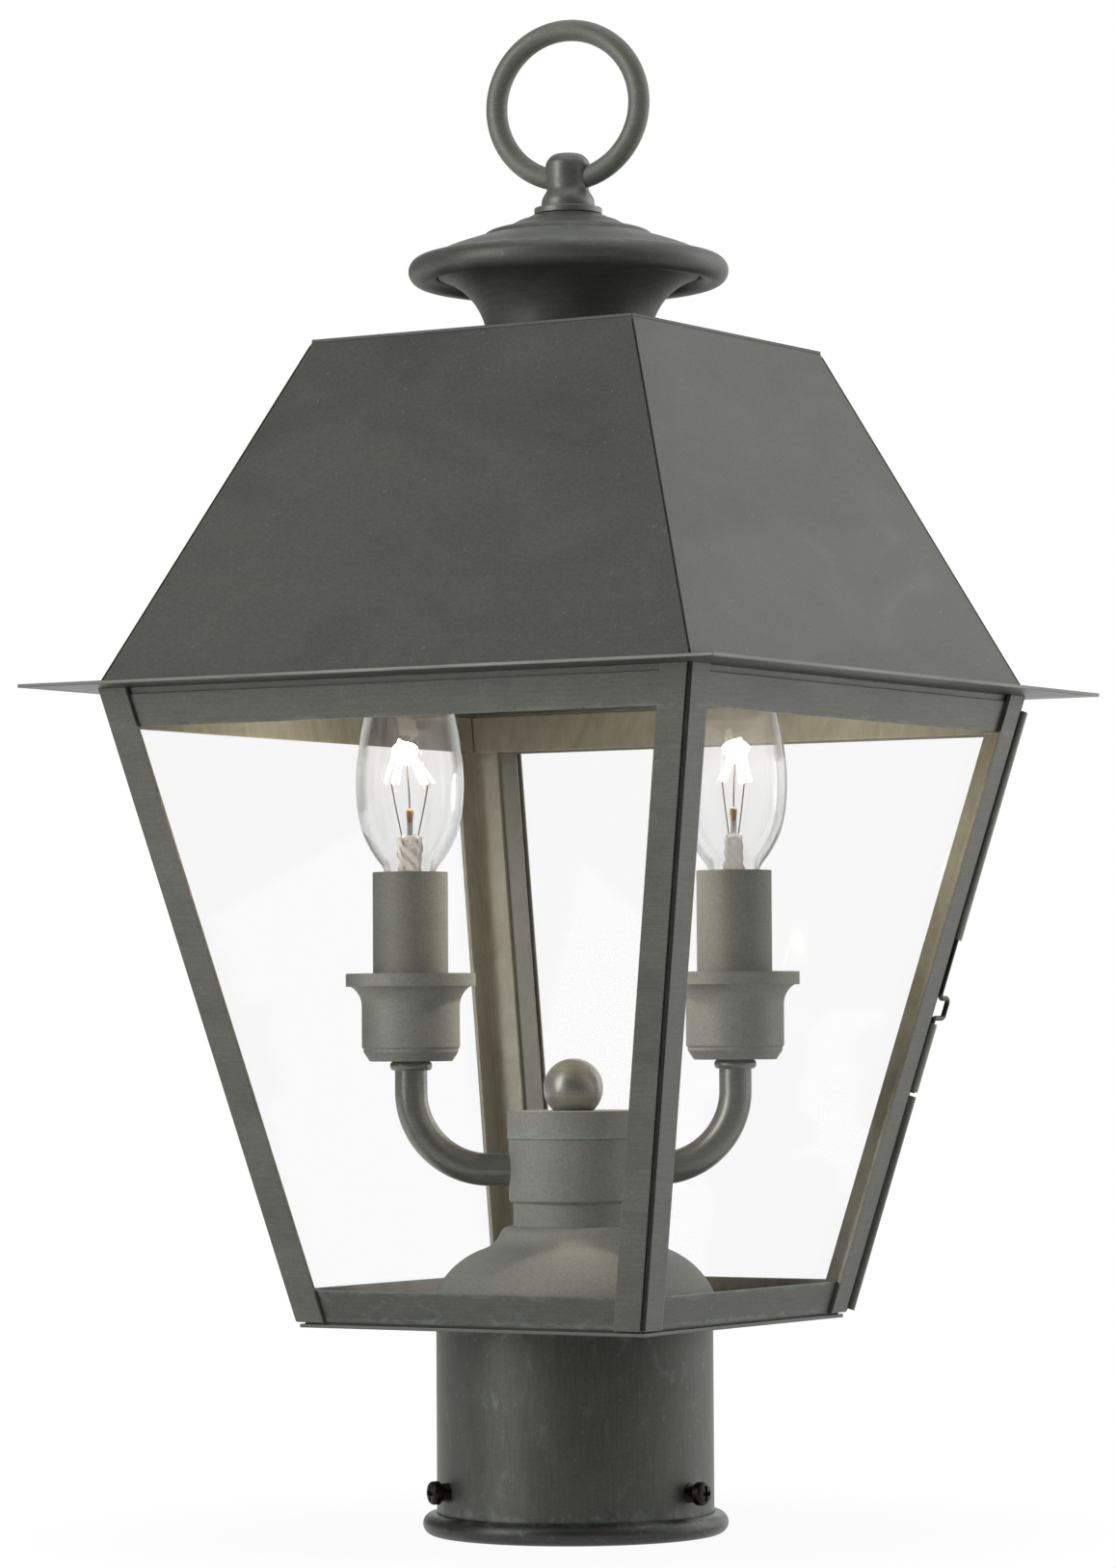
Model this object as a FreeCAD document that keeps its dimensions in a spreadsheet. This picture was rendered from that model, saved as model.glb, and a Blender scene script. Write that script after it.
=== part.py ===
import FreeCAD, Part
import math
import os
import re
import Sketcher

# An outdoor post light: a square glass lantern that widens upwards, with a hipped roof, a vented
# smoke cap and a hanging ring, two candle lamps on a cluster, a glazed door on the rear right face,
# and a sleeve that slips over a 3 in post. The origin is the centre of the sleeve's foot, +Z is up,
# the lantern's faces look along X and Y, and the door looks along +Y.

SIZES = {
    # general fits
    "solder_gap": 0.05,
    "running_gap": 0.07,
    "free_gap": 0.3,
    "overrun": 2.0,
    "quarter_arc_share": 0.2071,
    # post sleeve and its foot
    "sleeve_bore_radius": 39.0,
    "sleeve_wall": 1.5,
    "bead_height": 6.4,
    "bead_reach": 4.1,
    "bead_toe": 1.0,
    "bead_toe_share": 0.2,
    # clamp screws
    "screw_level": 13.4,
    "screw_angle": -4.2,
    "screw_radius": 2.7,
    "screw_head_radius": 3.4,
    "screw_head_height": 2.8,
    "screw_head_lead": 3.0,
    "screw_head_edge": 1.1,
    "screw_slot_width": 1.0,
    "screw_slot_length": 4.6,
    "screw_slot_depth": 1.3,
    "screw_tip_bevel": 0.6,
    # bottom plate
    "plate_level": 61.3,
    "plate_gauge": 1.0,
    "plate_inset": 1.1,
    "plate_hole_radius": 30.0,
    # bridge under the dome
    "bridge_width": 14.0,
    "bridge_gauge": 1.6,
    "bridge_rise": 10.0,
    "bridge_dome_gap": 2.3,
    "bridge_foot_length": 8.5,
    "bridge_shoulder": 7.5,
    "rivet_radius": 1.5,
    "rivet_head_radius": 2.8,
    "rivet_head_height": 1.2,
    "rivet_tip_radius": 0.6,
    # base dome
    "dome_belly_step": 15.8,
    "dome_waist_step": 5.6,
    "dome_waist_rise": 20.4,
    "dome_neck_step": 3.4,
    "dome_neck_lift": 5.2,
    "dome_top_ledge": 0.3,
    "dome_top_lift": 1.6,
    "dome_gauge": 1.0,
    "dome_belly_share": 0.145,
    "dome_waist_share": 0.12,
    "dome_shoulder_share": 0.16,
    # cluster
    "stem_radius": 4.85,
    "stem_wall": 1.25,
    "stem_tail": 3.8,
    "stem_window_width": 4.4,
    "nut_wall": 3.25,
    "nut_height": 3.0,
    "neck_radius": 17.7,
    "neck_wall": 1.2,
    "neck_height": 6.9,
    "hub_radius": 19.0,
    "hub_wall": 1.5,
    "hub_height": 18.6,
    "hub_bevel": 0.7,
    "lid_radius": 19.4,
    "lid_height": 8.1,
    "ball_radius": 8.73,
    "ball_foot_wall": 0.93,
    "ball_foot_share": 0.1065,
    "ball_tip_radius": 0.4,
    # lamp arms
    "lamp_angle": 31.8,
    "lamp_reach": 47.5,
    "arm_rise": 9.6,
    "arm_radius": 4.76,
    "arm_wall": 0.9,
    "arm_bend_radius": 22.9,
    "arm_start": 15.5,
    "arm_tip_rise": 7.1,
    "lead_radius": 1.2,
    "lead_offset": 1.5,
    "lead_bend_radius": 4.0,
    "lead_tail": 6.6,
    "collar_radius": 6.2,
    "collar_height": 2.7,
    # candle cups and candle sleeves
    "cup_lift": 8.9,
    "cup_foot_ledge": 1.05,
    "cup_taper": 2.3,
    "cup_lip": 1.45,
    "cup_flare": 3.2,
    "cup_taper_rise": 3.6,
    "cup_groove_rise": 0.9,
    "cup_groove_depth": 0.5,
    "cup_body_rise": 16.2,
    "cup_flare_height": 5.7,
    "cup_rim_height": 3.8,
    "cup_wall": 1.3,
    "cup_flare_share": 0.13,
    "candle_radius": 11.05,
    "candle_wall": 0.7,
    "candle_height": 54.1,
    # sockets
    "socket_gap": 0.75,
    "socket_foot_radius": 7.5,
    "socket_foot_height": 6.4,
    "socket_floor_gap": 4.5,
    "socket_shell_gauge": 0.4,
    "lead_hole_radius": 2.0,
    # bulbs
    "bulb_base_radius": 5.9,
    "bulb_base_height": 17.5,
    "bulb_sink": 3.7,
    "bulb_base_collar_step": 1.3,
    "bulb_base_collar_height": 1.5,
    "bulb_base_wall": 0.7,
    "bulb_base_floor": 2.5,
    "bulb_contact_radius": 2.0,
    "bulb_contact_height": 1.5,
    "bulb_neck_step": 1.2,
    "bulb_neck_height": 4.3,
    "bulb_belly_radius": 15.9,
    "bulb_belly_rise": 28.9,
    "bulb_tip_radius": 3.0,
    "bulb_tip_height": 1.5,
    "bulb_height": 78.0,
    "bulb_glass_gauge": 0.6,
    "bulb_lower_share": 0.0821,
    "bulb_upper_share": 0.0667,
    "bulb_tip_share": 0.16,
    "bulb_tip_flat_radius": 0.8,
    "mount_flare_gap": 0.3,
    "mount_flare_height": 0.8,
    "mount_waist_radius": 2.3,
    "mount_waist_rise": 6.0,
    "mount_press_radius": 3.2,
    "mount_press_rise": 9.0,
    "mount_height": 14.4,
    "filament_wire_radius": 0.3,
    "filament_foot_spread": 2.2,
    "filament_head_spread": 5.4,
    "filament_support_rise": 13.6,
    "filament_rise": 15.0,
    # corner posts: outer half widths are taken to the posts' outer faces
    "post_lift": 0.6,
    "post_height": 182.9,
    "post_foot_half": 58.8,
    "post_spread": 40.5,
    "post_leg": 10.0,
    "post_gauge": 1.2,
    "seam_width": 1.4,
    "seam_depth": 0.7,
    # rails
    "rail_gauge": 1.2,
    "rail_corner_gap": 2.6,
    "bottom_rail_height": 9.3,
    "bottom_rail_step": 0.7,
    "rail_step_depth": 0.6,
    "top_rail_height": 9.4,
    "top_rail_drop": 1.9,
    # glass and cleats
    "glass_gauge": 2.0,
    "glass_seat_gap": 0.1,
    "glass_head_gap": 0.5,
    "glass_corner_gap": 4.9,
    "cleat_gauge": 1.0,
    "cleat_width": 9.0,
    "cleat_height": 7.5,
    "cleat_spread_share": 0.55,
    # eave plate and roof
    "eave_gauge": 1.0,
    "eave_overhang": 16.15,
    "eave_lip": 8.3,
    "roof_inset": 0.4,
    "roof_head_half": 54.45,
    "roof_rise": 100.4,
    "roof_wall": 1.3,
    "roof_top_gauge": 0.9,
    # chimney and cap
    "chimney_radius": 24.4,
    "chimney_collar_height": 4.5,
    "chimney_spread": 14.0,
    "chimney_flare_height": 16.8,
    "chimney_gauge": 1.0,
    "chimney_flare_share": 0.14,
    "strap_width": 12.0,
    "strap_gauge": 1.5,
    "stud_radius": 2.4,
    "stud_tail": 3.2,
    "stud_grip": 3.9,
    "cap_nut_radius": 4.6,
    "cap_nut_height": 2.6,
    "cap_gauge": 0.9,
    "cap_crown_radius": 10.8,
    "cap_lift": 17.5,
    "cap_step_radius": 24.8,
    "cap_slope_fall": 6.0,
    "cap_step_drop": 0.6,
    "cap_roll_lead": 1.45,
    "cap_skirt_fall": 6.1,
    "cap_roll_radius": 4.05,
    "cap_rim_gap": 0.7,
    "cap_roll_fall": 4.3,
    "cap_crown_share": 0.02,
    "cap_skirt_share": 0.05,
    # finial and ring
    "washer_ledge": 2.1,
    "washer_height": 2.0,
    "finial_flare": 1.5,
    "finial_neck_radius": 6.4,
    "finial_flare_height": 4.0,
    "finial_height": 16.1,
    "finial_edge": 3.4,
    "finial_flare_share": 0.16,
    "ring_radius": 22.3,
    "ring_rod_radius": 3.15,
    "ring_sink": 7.95,
    "ring_angle": 11.8,
    # door and its hardware, with insets taken from the posts' corners
    "door_foot_gap": 1.7,
    "door_head_gap": 4.3,
    "door_strip": 7.5,
    "door_gauge": 3.2,
    "door_glass_bite": 3.7,
    "tube_radius": 1.6,
    "wire_radius": 0.775,
    "tube_wall_depth": 0.6,
    "tube_web_reach": 1.0,
    "latch_inset": 0.9,
    "door_edge_gap": 2.0,
    "hinge_inset": 6.8,
    "keeper_gap": 0.7,
    "keeper_height": 62.8,
    "guide_gap": 1.4,
    "guide_height": 20.1,
    "latch_travel": 17.6,
    "upper_tube_gap": 0.3,
    "latch_tail_gap": 1.0,
    "latch_loop_gap": 1.6,
    "latch_loop_height": 5.9,
    "latch_loop_reach": 5.8,
    "latch_bend_radius": 1.4,
    "latch_tail": 17.0,
    "lower_knuckle_height": 45.9,
    "upper_knuckle_height": 46.0,
    "knuckle_gap": 0.6,
    "pin_head_height": 1.2,
}

V = FreeCAD.Vector
UP = V(0, 0, 1)
QUARTER_TURN = 90

doc = FreeCAD.newDocument("PostLight")
sheet = doc.addObject("Spreadsheet::Sheet", "Sizes")
for row, (alias, number) in enumerate(SIZES.items(), start=1):
    sheet.set(f"A{row}", alias)
    sheet.set(f"B{row}", str(number))
    sheet.setAlias(f"B{row}", alias)
doc.recompute()

nodes = []
reader = doc.addObject("App::FeaturePython", "Reader")
reader.addProperty("App::PropertyFloat", "Reading")
ALIAS = re.compile(r"\b(" + "|".join(sorted(SIZES, key=len, reverse=True)) + r")\b")


def linked(rule):
    """A rule in the sheet's words, written as a document expression."""
    return ALIAS.sub(r"Sizes.\1", rule)


def value(rule):
    """The number that a rule gives now."""
    reader.setExpression("Reading", linked(rule))
    reader.recompute()
    return reader.Reading


def bind(item, **rules):
    """Ties properties of an object to rules in the sheet's words."""
    for name, rule in rules.items():
        item.setExpression(name, linked(rule))
    return item


def node(item, label):
    """Marks an object as one sub-part of the lamp."""
    item.Label = label
    nodes.append(item)
    return item


# Sketched pieces


def new_body(name, placement=None):
    body = doc.addObject("PartDesign::Body", name)
    if placement:
        body.Placement = placement
    return body


def arc_between(start, end, share):
    """The circular arc whose height is `share` of its chord; a positive one turns anticlockwise."""
    chord = end - start
    side = 1 if share > 0 else -1
    bulge = abs(share)
    radius = chord.Length * (1 + 4 * bulge ** 2) / (8 * bulge)
    inward = V(-chord.y, chord.x, 0) * (side / chord.Length)
    centre = (start + end) * 0.5 + inward * (radius - bulge * chord.Length)
    first, last = (start, end) if side > 0 else (end, start)
    first_angle = math.atan2(first.y - centre.y, first.x - centre.x)
    last_angle = math.atan2(last.y - centre.y, last.x - centre.x)
    return Part.ArcOfCircle(Part.Circle(centre, UP, radius), first_angle, last_angle)


def draw(body, name, role, outline, closed=True):
    """A sketch on one of the body's own planes. Each corner is (across, up) in rules, and a third
    entry names the share by which the side that leaves it bulges."""
    sketch = body.newObject("Sketcher::SketchObject", name)
    plane = next(item for item in body.Origin.OriginFeatures if item.Role == role)
    sketch.AttachmentSupport = [(plane, "")]
    sketch.MapMode = "FlatFace"
    spots = [V(value(corner[0]), value(corner[1]), 0) for corner in outline]
    count = len(outline) if closed else len(outline) - 1
    ends = []
    for index in range(count):
        start, end = spots[index], spots[(index + 1) % len(spots)]
        rule = outline[index][2] if len(outline[index]) > 2 else None
        share = value(rule) if rule else 0
        if share:
            sketch.addGeometry(arc_between(start, end, share))
        else:
            sketch.addGeometry(Part.LineSegment(start, end))
        ends.append((1, 2) if share >= 0 else (2, 1))
    joints = count if closed else count - 1
    for index in range(joints):
        following = (index + 1) % count
        sketch.addConstraint(
            Sketcher.Constraint("Coincident", index, ends[index][1], following, ends[following][0]))
    for index, corner in enumerate(outline):
        if index < count:
            edge, end = index, ends[index][0]
        else:
            edge, end = count - 1, ends[count - 1][1]
        for kind, rule, number in (("DistanceX", corner[0], spots[index].x),
                                   ("DistanceY", corner[1], spots[index].y)):
            mark = sketch.addConstraint(Sketcher.Constraint(kind, -1, 1, edge, end, number))
            sketch.setExpression(f"Constraints[{mark}]", linked(rule))
    for index in range(count):
        if len(outline[index]) < 3:
            continue
        here, there = outline[index], outline[(index + 1) % len(outline)]
        chord = f"sqrt((({there[0]}) - ({here[0]}))^2 + (({there[1]}) - ({here[1]}))^2)"
        bulge = f"abs({here[2]})"
        rule = f"{chord} * (1 + 4 * {bulge}^2) / (8 * {bulge})"
        mark = sketch.addConstraint(Sketcher.Constraint("Radius", index, value(rule)))
        sketch.setExpression(f"Constraints[{mark}]", linked(rule))
    return sketch


def circles(body, name, role, *radii):
    """A sketch of circles about the body's own origin, one radius rule each."""
    sketch = body.newObject("Sketcher::SketchObject", name)
    plane = next(item for item in body.Origin.OriginFeatures if item.Role == role)
    sketch.AttachmentSupport = [(plane, "")]
    sketch.MapMode = "FlatFace"
    for index, rule in enumerate(radii):
        sketch.addGeometry(Part.Circle(V(), UP, value(rule)))
        sketch.addConstraint(Sketcher.Constraint("Coincident", index, 3, -1, 1))
        mark = sketch.addConstraint(Sketcher.Constraint("Radius", index, value(rule)))
        sketch.setExpression(f"Constraints[{mark}]", linked(rule))
    return sketch


def turned(label, outline, placement=None):
    """A piece turned about its own Z axis from half its section."""
    body = new_body(label, placement)
    section = draw(body, label + "_section", "XZ_Plane", outline)
    turn = body.newObject("PartDesign::Revolution", label + "_turn")
    turn.Profile = section
    turn.ReferenceAxis = (section, ["V_Axis"])
    turn.Angle = 360
    return body


def raised(label, sketch, body, height, symmetric=False):
    """A straight pad of a sketch."""
    pad = body.newObject("PartDesign::Pad", label + "_pad")
    pad.Profile = sketch
    pad.Midplane = symmetric
    bind(pad, Length=height)
    return pad


def drilled(label, body, sketch):
    """A hole right through the body along the sketch's normal, both ways."""
    doc.recompute()
    before = body.Shape.Volume
    pocket = body.newObject("PartDesign::Pocket", label + "_hole")
    pocket.Profile = sketch
    pocket.Midplane = True
    pocket.Type = 1
    doc.recompute()
    if body.Shape.Volume >= before:
        raise RuntimeError(label + ": the hole removes nothing")
    return pocket


def placed(turn=0, x=0, z=0):
    """A place `x` out from the lamp's axis at height `z`, turned about that axis."""
    around = FreeCAD.Placement(V(), FreeCAD.Rotation(UP, turn))
    return around * FreeCAD.Placement(V(x, 0, z), FreeCAD.Rotation())


def cut(label, base, *tools):
    """The base less its tools."""
    tool = tools[0]
    if len(tools) > 1:
        tool = doc.addObject("Part::MultiFuse", label + "_tools")
        tool.Shapes = list(tools)
    result = doc.addObject("Part::Cut", label)
    result.Base = base
    result.Tool = tool
    return result


def fused(label, *pieces):
    result = doc.addObject("Part::MultiFuse", label)
    result.Shapes = list(pieces)
    return result


def grouped(label, *pieces):
    """Separate solids that share one node."""
    result = doc.addObject("Part::Compound", label)
    result.Links = list(pieces)
    return result


def cylinder(label, radius, height, placement=None):
    piece = bind(doc.addObject("Part::Cylinder", label), Radius=radius, Height=height)
    if placement:
        piece.Placement = placement
    return piece


# Places that follow other pieces: each level is taken from what carries the piece, each radius or
# half width from what it fits

PLATE_TOP = "(plate_level + plate_gauge)"
PLATE_HALF = "(post_foot_half - plate_inset)"
DOME_TOP_RADIUS = "(neck_radius + dome_top_ledge)"
DOME_NECK_RADIUS = f"({DOME_TOP_RADIUS} + dome_neck_step)"
DOME_WAIST_RADIUS = f"({DOME_NECK_RADIUS} + dome_waist_step)"
DOME_RADIUS = f"({DOME_WAIST_RADIUS} + dome_belly_step)"
DOME_NECK_RISE = "(dome_waist_rise + dome_neck_lift)"
DOME_TOP = f"({PLATE_TOP} + {DOME_NECK_RISE} + dome_top_lift)"
BRIDGE_SPAN = f"({DOME_RADIUS} - dome_gauge - bridge_dome_gap)"
BRIDGE_UNDER = f"({PLATE_TOP} + bridge_rise)"
STEM_HOLE = "(stem_radius + solder_gap)"
STEM_BORE_RADIUS = "(stem_radius - stem_wall)"
STEM_FOOT = f"({BRIDGE_UNDER} - nut_height - stem_tail)"
NUT_RADIUS = "(stem_radius + nut_wall)"
HUB_FOOT = f"({DOME_TOP} + neck_height)"

ARM_LEVEL = f"({HUB_FOOT} + arm_rise)"
CUP_LEVEL = f"({ARM_LEVEL} + arm_bend_radius + cup_lift)"
CUP_FLOOR = f"({CUP_LEVEL} + cup_wall)"
ARM_TOP = f"({CUP_LEVEL} + arm_tip_rise)"
LEAD_TOP = f"({ARM_TOP} + lead_tail)"
CUP_FOOT_RADIUS = "(candle_radius + cup_foot_ledge)"
CUP_BODY_RADIUS = f"({CUP_FOOT_RADIUS} + cup_taper)"
CUP_THROAT_RADIUS = f"({CUP_BODY_RADIUS} + cup_flare)"
CUP_RIM_RADIUS = f"({CUP_THROAT_RADIUS} + cup_lip)"
CUP_FLARE_RISE = "(cup_body_rise + cup_flare_height)"
CUP_RIM_RISE = f"({CUP_FLARE_RISE} + cup_rim_height)"
CANDLE_TOP = f"({CUP_FLOOR} + candle_height)"
SOCKET_RADIUS = "(candle_radius - candle_wall - socket_gap)"
SOCKET_SHOULDER = f"({CUP_FLOOR} + socket_foot_height)"
BULB_BASE_TOP = f"({CANDLE_TOP} - bulb_sink)"
BULB_BASE_FOOT = f"({BULB_BASE_TOP} - bulb_base_height)"
BULB_BASE_COLLAR_RADIUS = "(bulb_base_radius + bulb_base_collar_step)"
SOCKET_FLOOR = f"({BULB_BASE_FOOT} - socket_floor_gap)"
BULB_NECK_RADIUS = "(bulb_base_radius + bulb_neck_step)"
BULB_NECK_TOP = f"({BULB_BASE_TOP} + bulb_neck_height)"
BULB_BELLY_LEVEL = f"({BULB_BASE_TOP} + bulb_belly_rise)"
BULB_TOP = f"({BULB_BASE_TOP} + bulb_height)"
BULB_TIP_LEVEL = f"({BULB_TOP} - bulb_tip_height)"
MOUNT_FLARE_RADIUS = f"({BULB_NECK_RADIUS} - bulb_glass_gauge - mount_flare_gap)"
MOUNT_WAIST_LEVEL = f"({BULB_BASE_TOP} + mount_waist_rise)"
MOUNT_PRESS_LEVEL = f"({BULB_BASE_TOP} + mount_press_rise)"
MOUNT_TOP = f"({BULB_BASE_TOP} + mount_height)"
FILAMENT_HEAD_LEVEL = f"({MOUNT_TOP} + filament_support_rise)"
FILAMENT_PEAK_LEVEL = f"({FILAMENT_HEAD_LEVEL} + filament_rise)"

POST_FOOT = f"({PLATE_TOP} + post_lift)"
POST_HEAD_HALF = "(post_foot_half + post_spread)"
EAVE_LEVEL = f"({POST_FOOT} + post_height)"
BOTTOM_RAIL_TOP = f"({POST_FOOT} + bottom_rail_height)"
TOP_RAIL_TOP = f"({EAVE_LEVEL} - top_rail_drop)"
TOP_RAIL_FOOT = f"({TOP_RAIL_TOP} - top_rail_height)"
GLASS_TOP = f"({TOP_RAIL_TOP} - glass_head_gap)"
EAVE_TOP = f"({EAVE_LEVEL} + eave_gauge)"
EAVE_HALF = f"({POST_HEAD_HALF} + eave_overhang)"
EAVE_OPENING_HALF = f"({POST_HEAD_HALF} - eave_lip)"
ROOF_FOOT_HALF = f"({POST_HEAD_HALF} - roof_inset)"
ROOF_HEAD = f"({EAVE_TOP} + roof_rise)"
ROOF_TOP = f"({ROOF_HEAD} + roof_top_gauge)"

COLLAR_TOP = f"({ROOF_TOP} + chimney_collar_height)"
CHIMNEY_RIM_RADIUS = "(chimney_radius + chimney_spread)"
CHIMNEY_RIM_LEVEL = f"({COLLAR_TOP} + chimney_flare_height)"
CAP_CROWN_LEVEL = f"({CHIMNEY_RIM_LEVEL} + cap_lift)"
CAP_STEP_LEVEL = f"({CAP_CROWN_LEVEL} - cap_slope_fall)"
CAP_SKIRT_LEVEL = f"({CAP_STEP_LEVEL} - cap_step_drop - cap_skirt_fall)"
CAP_ROLL_LEVEL = f"({CAP_SKIRT_LEVEL} - cap_roll_fall)"
CAP_ROLL_CENTRE = f"({CHIMNEY_RIM_RADIUS} + cap_rim_gap + cap_roll_radius)"
CAP_SKIRT_RADIUS = f"({CAP_ROLL_CENTRE} - cap_roll_lead)"
FINIAL_FOOT_RADIUS = "(finial_neck_radius + finial_flare)"
WASHER_RADIUS = f"({FINIAL_FOOT_RADIUS} + washer_ledge)"
WASHER_TOP = f"({CAP_CROWN_LEVEL} + washer_height)"
FINIAL_TOP = f"({WASHER_TOP} + finial_height)"
STUD_FOOT = f"({CHIMNEY_RIM_LEVEL} - cap_nut_height - stud_tail)"
STUD_TOP = f"({WASHER_TOP} + stud_grip)"
RING_LEVEL = f"({FINIAL_TOP} - ring_sink + ring_radius)"

DOOR_FOOT = f"({POST_FOOT} + door_foot_gap)"
DOOR_HEAD = f"({EAVE_LEVEL} - door_head_gap)"
LATCH_EDGE = "(latch_inset + door_edge_gap)"
HINGE_EDGE = "(hinge_inset + door_edge_gap)"
KEEPER_FOOT = f"({POST_FOOT} + keeper_gap)"
KEEPER_HEAD = f"({KEEPER_FOOT} + keeper_height)"
GUIDE_FOOT = f"({KEEPER_HEAD} + guide_gap)"
GUIDE_HEAD = f"({GUIDE_FOOT} + guide_height)"
LATCH_WIRE_FOOT = f"({KEEPER_HEAD} + latch_tail_gap)"
LATCH_LOOP_FOOT = f"({GUIDE_HEAD} + latch_loop_gap)"
LATCH_LOOP_HEAD = f"({LATCH_LOOP_FOOT} + latch_loop_height)"
UPPER_TUBE_FOOT = f"({LATCH_LOOP_HEAD} + latch_travel)"
UPPER_TUBE_HEAD = f"({DOOR_HEAD} - upper_tube_gap)"
LATCH_WIRE_HEAD = f"({UPPER_TUBE_FOOT} + latch_tail)"
LOWER_KNUCKLE_FOOT = f"({DOOR_FOOT} + free_gap + pin_head_height)"
UPPER_KNUCKLE_HEAD = f"({DOOR_HEAD} - free_gap - pin_head_height)"
KNUCKLE_JOINT_LOW = f"({LOWER_KNUCKLE_FOOT} + lower_knuckle_height)"
KNUCKLE_JOINT_HIGH = f"({UPPER_KNUCKLE_HEAD} - upper_knuckle_height)"


# Post sleeve with its three screw holes, and the bead soldered round its foot

SLEEVE_RADIUS = "(sleeve_bore_radius + sleeve_wall)"

sleeve_wall = turned("post_sleeve_wall", [
    ("sleeve_bore_radius", "0"),
    (SLEEVE_RADIUS, "0"),
    (SLEEVE_RADIUS, "plate_level"),
    ("sleeve_bore_radius", "plate_level"),
])
screw_turns = [value("screw_angle") + turn for turn in (0, 120, 240)]


def radial(turn, level):
    """The place whose Z axis points out from the lamp's axis at a height."""
    outward = FreeCAD.Placement(V(), FreeCAD.Rotation(V(0, 1, 0), QUARTER_TURN))
    return placed(turn, 0, value(level)) * outward


screw_holes = [
    cylinder(f"screw_hole_{index}", "screw_radius + running_gap", f"{SLEEVE_RADIUS} + overrun",
             radial(turn, "screw_level"))
    for index, turn in enumerate(screw_turns, start=1)
]
node(cut("post_sleeve", sleeve_wall, *screw_holes), "post_sleeve")

BEAD_BORE = f"({SLEEVE_RADIUS} + solder_gap)"
BEAD_RADIUS = f"({SLEEVE_RADIUS} + bead_reach)"
node(turned("foot_bead", [
    (BEAD_BORE, "0"),
    (f"{SLEEVE_RADIUS} + bead_toe", "0", "bead_toe_share"),
    (BEAD_RADIUS, "bead_height / 2", "bead_toe_share"),
    (f"{SLEEVE_RADIUS} + bead_toe", "bead_height"),
    (BEAD_BORE, "bead_height"),
]), "foot_bead")

# Clamp screws: cross-slotted pan heads that stand off the sleeve, tips flush with the bore

HEAD_FOOT = f"({SLEEVE_RADIUS} + screw_head_lead)"
HEAD_TOP = f"({HEAD_FOOT} + screw_head_height)"
SLOT_HALF = "(screw_slot_width / 2)"
SLOT_END = "(screw_slot_length / 2)"
SCREW_NODES = ("clamp_screw_right", "clamp_screw_rear", "clamp_screw_left")

for label, turn in zip(SCREW_NODES, screw_turns):
    screw = turned(label, [
        ("0", "sleeve_bore_radius"),
        ("screw_radius - screw_tip_bevel", "sleeve_bore_radius"),
        ("screw_radius", "sleeve_bore_radius + screw_tip_bevel"),
        ("screw_radius", HEAD_FOOT),
        ("screw_head_radius", HEAD_FOOT),
        ("screw_head_radius", f"{HEAD_TOP} - screw_head_edge", "quarter_arc_share"),
        ("screw_head_radius - screw_head_edge", HEAD_TOP),
        ("0", HEAD_TOP),
    ], radial(turn, "screw_level"))
    cross = draw(screw, label + "_cross", "XY_Plane", [
        (SLOT_HALF, SLOT_HALF), (SLOT_HALF, SLOT_END),
        (f"-{SLOT_HALF}", SLOT_END), (f"-{SLOT_HALF}", SLOT_HALF),
        (f"-{SLOT_END}", SLOT_HALF), (f"-{SLOT_END}", f"-{SLOT_HALF}"),
        (f"-{SLOT_HALF}", f"-{SLOT_HALF}"), (f"-{SLOT_HALF}", f"-{SLOT_END}"),
        (SLOT_HALF, f"-{SLOT_END}"), (SLOT_HALF, f"-{SLOT_HALF}"),
        (SLOT_END, f"-{SLOT_HALF}"), (SLOT_END, SLOT_HALF),
    ])
    cross.setExpression("AttachmentOffset.Base.z", linked(HEAD_TOP))
    doc.recompute()
    whole_volume = screw.Shape.Volume
    slot = screw.newObject("PartDesign::Pocket", label + "_slot")
    slot.Profile = cross
    bind(slot, Length="screw_slot_depth")
    doc.recompute()
    if screw.Shape.Volume >= whole_volume:
        raise RuntimeError(label + ": the slot removes nothing")
    node(screw, label)

# Bottom plate, with its wire hole under the dome and two rivet holes

RIVET_REACH = f"({BRIDGE_SPAN} - bridge_foot_length / 2)"


def square(body, name, half):
    """A square about the body's own origin."""
    return draw(body, name, "XY_Plane", [(half, half), (f"-{half}", half), (f"-{half}", f"-{half}"),
                                         (half, f"-{half}")])


plate = new_body("plate_sheet", placed(0, 0, value("plate_level")))
raised("plate_sheet", square(plate, "plate_outline", PLATE_HALF), plate, "plate_gauge")
drilled("plate_wire", plate, circles(plate, "plate_wire_circle", "XY_Plane", "plate_hole_radius"))
rivet_holes = [
    cylinder(f"rivet_hole_{side}", "rivet_radius + solder_gap", "plate_gauge + bridge_gauge + 2 * overrun",
             placed(turn, value(RIVET_REACH), value("plate_level - overrun")))
    for side, turn in (("east", 0), ("west", 180))
]
node(cut("bottom_plate", plate, *rivet_holes), "bottom_plate")

# Bridge: a hat-shaped strap riveted over the wire hole, which takes the stem's locknut

BRIDGE_TOP = f"({PLATE_TOP} + bridge_rise + bridge_gauge)"
FOOT_IN = f"({BRIDGE_SPAN} - bridge_foot_length)"
CROWN_HALF = f"({FOOT_IN} - bridge_shoulder)"

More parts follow.
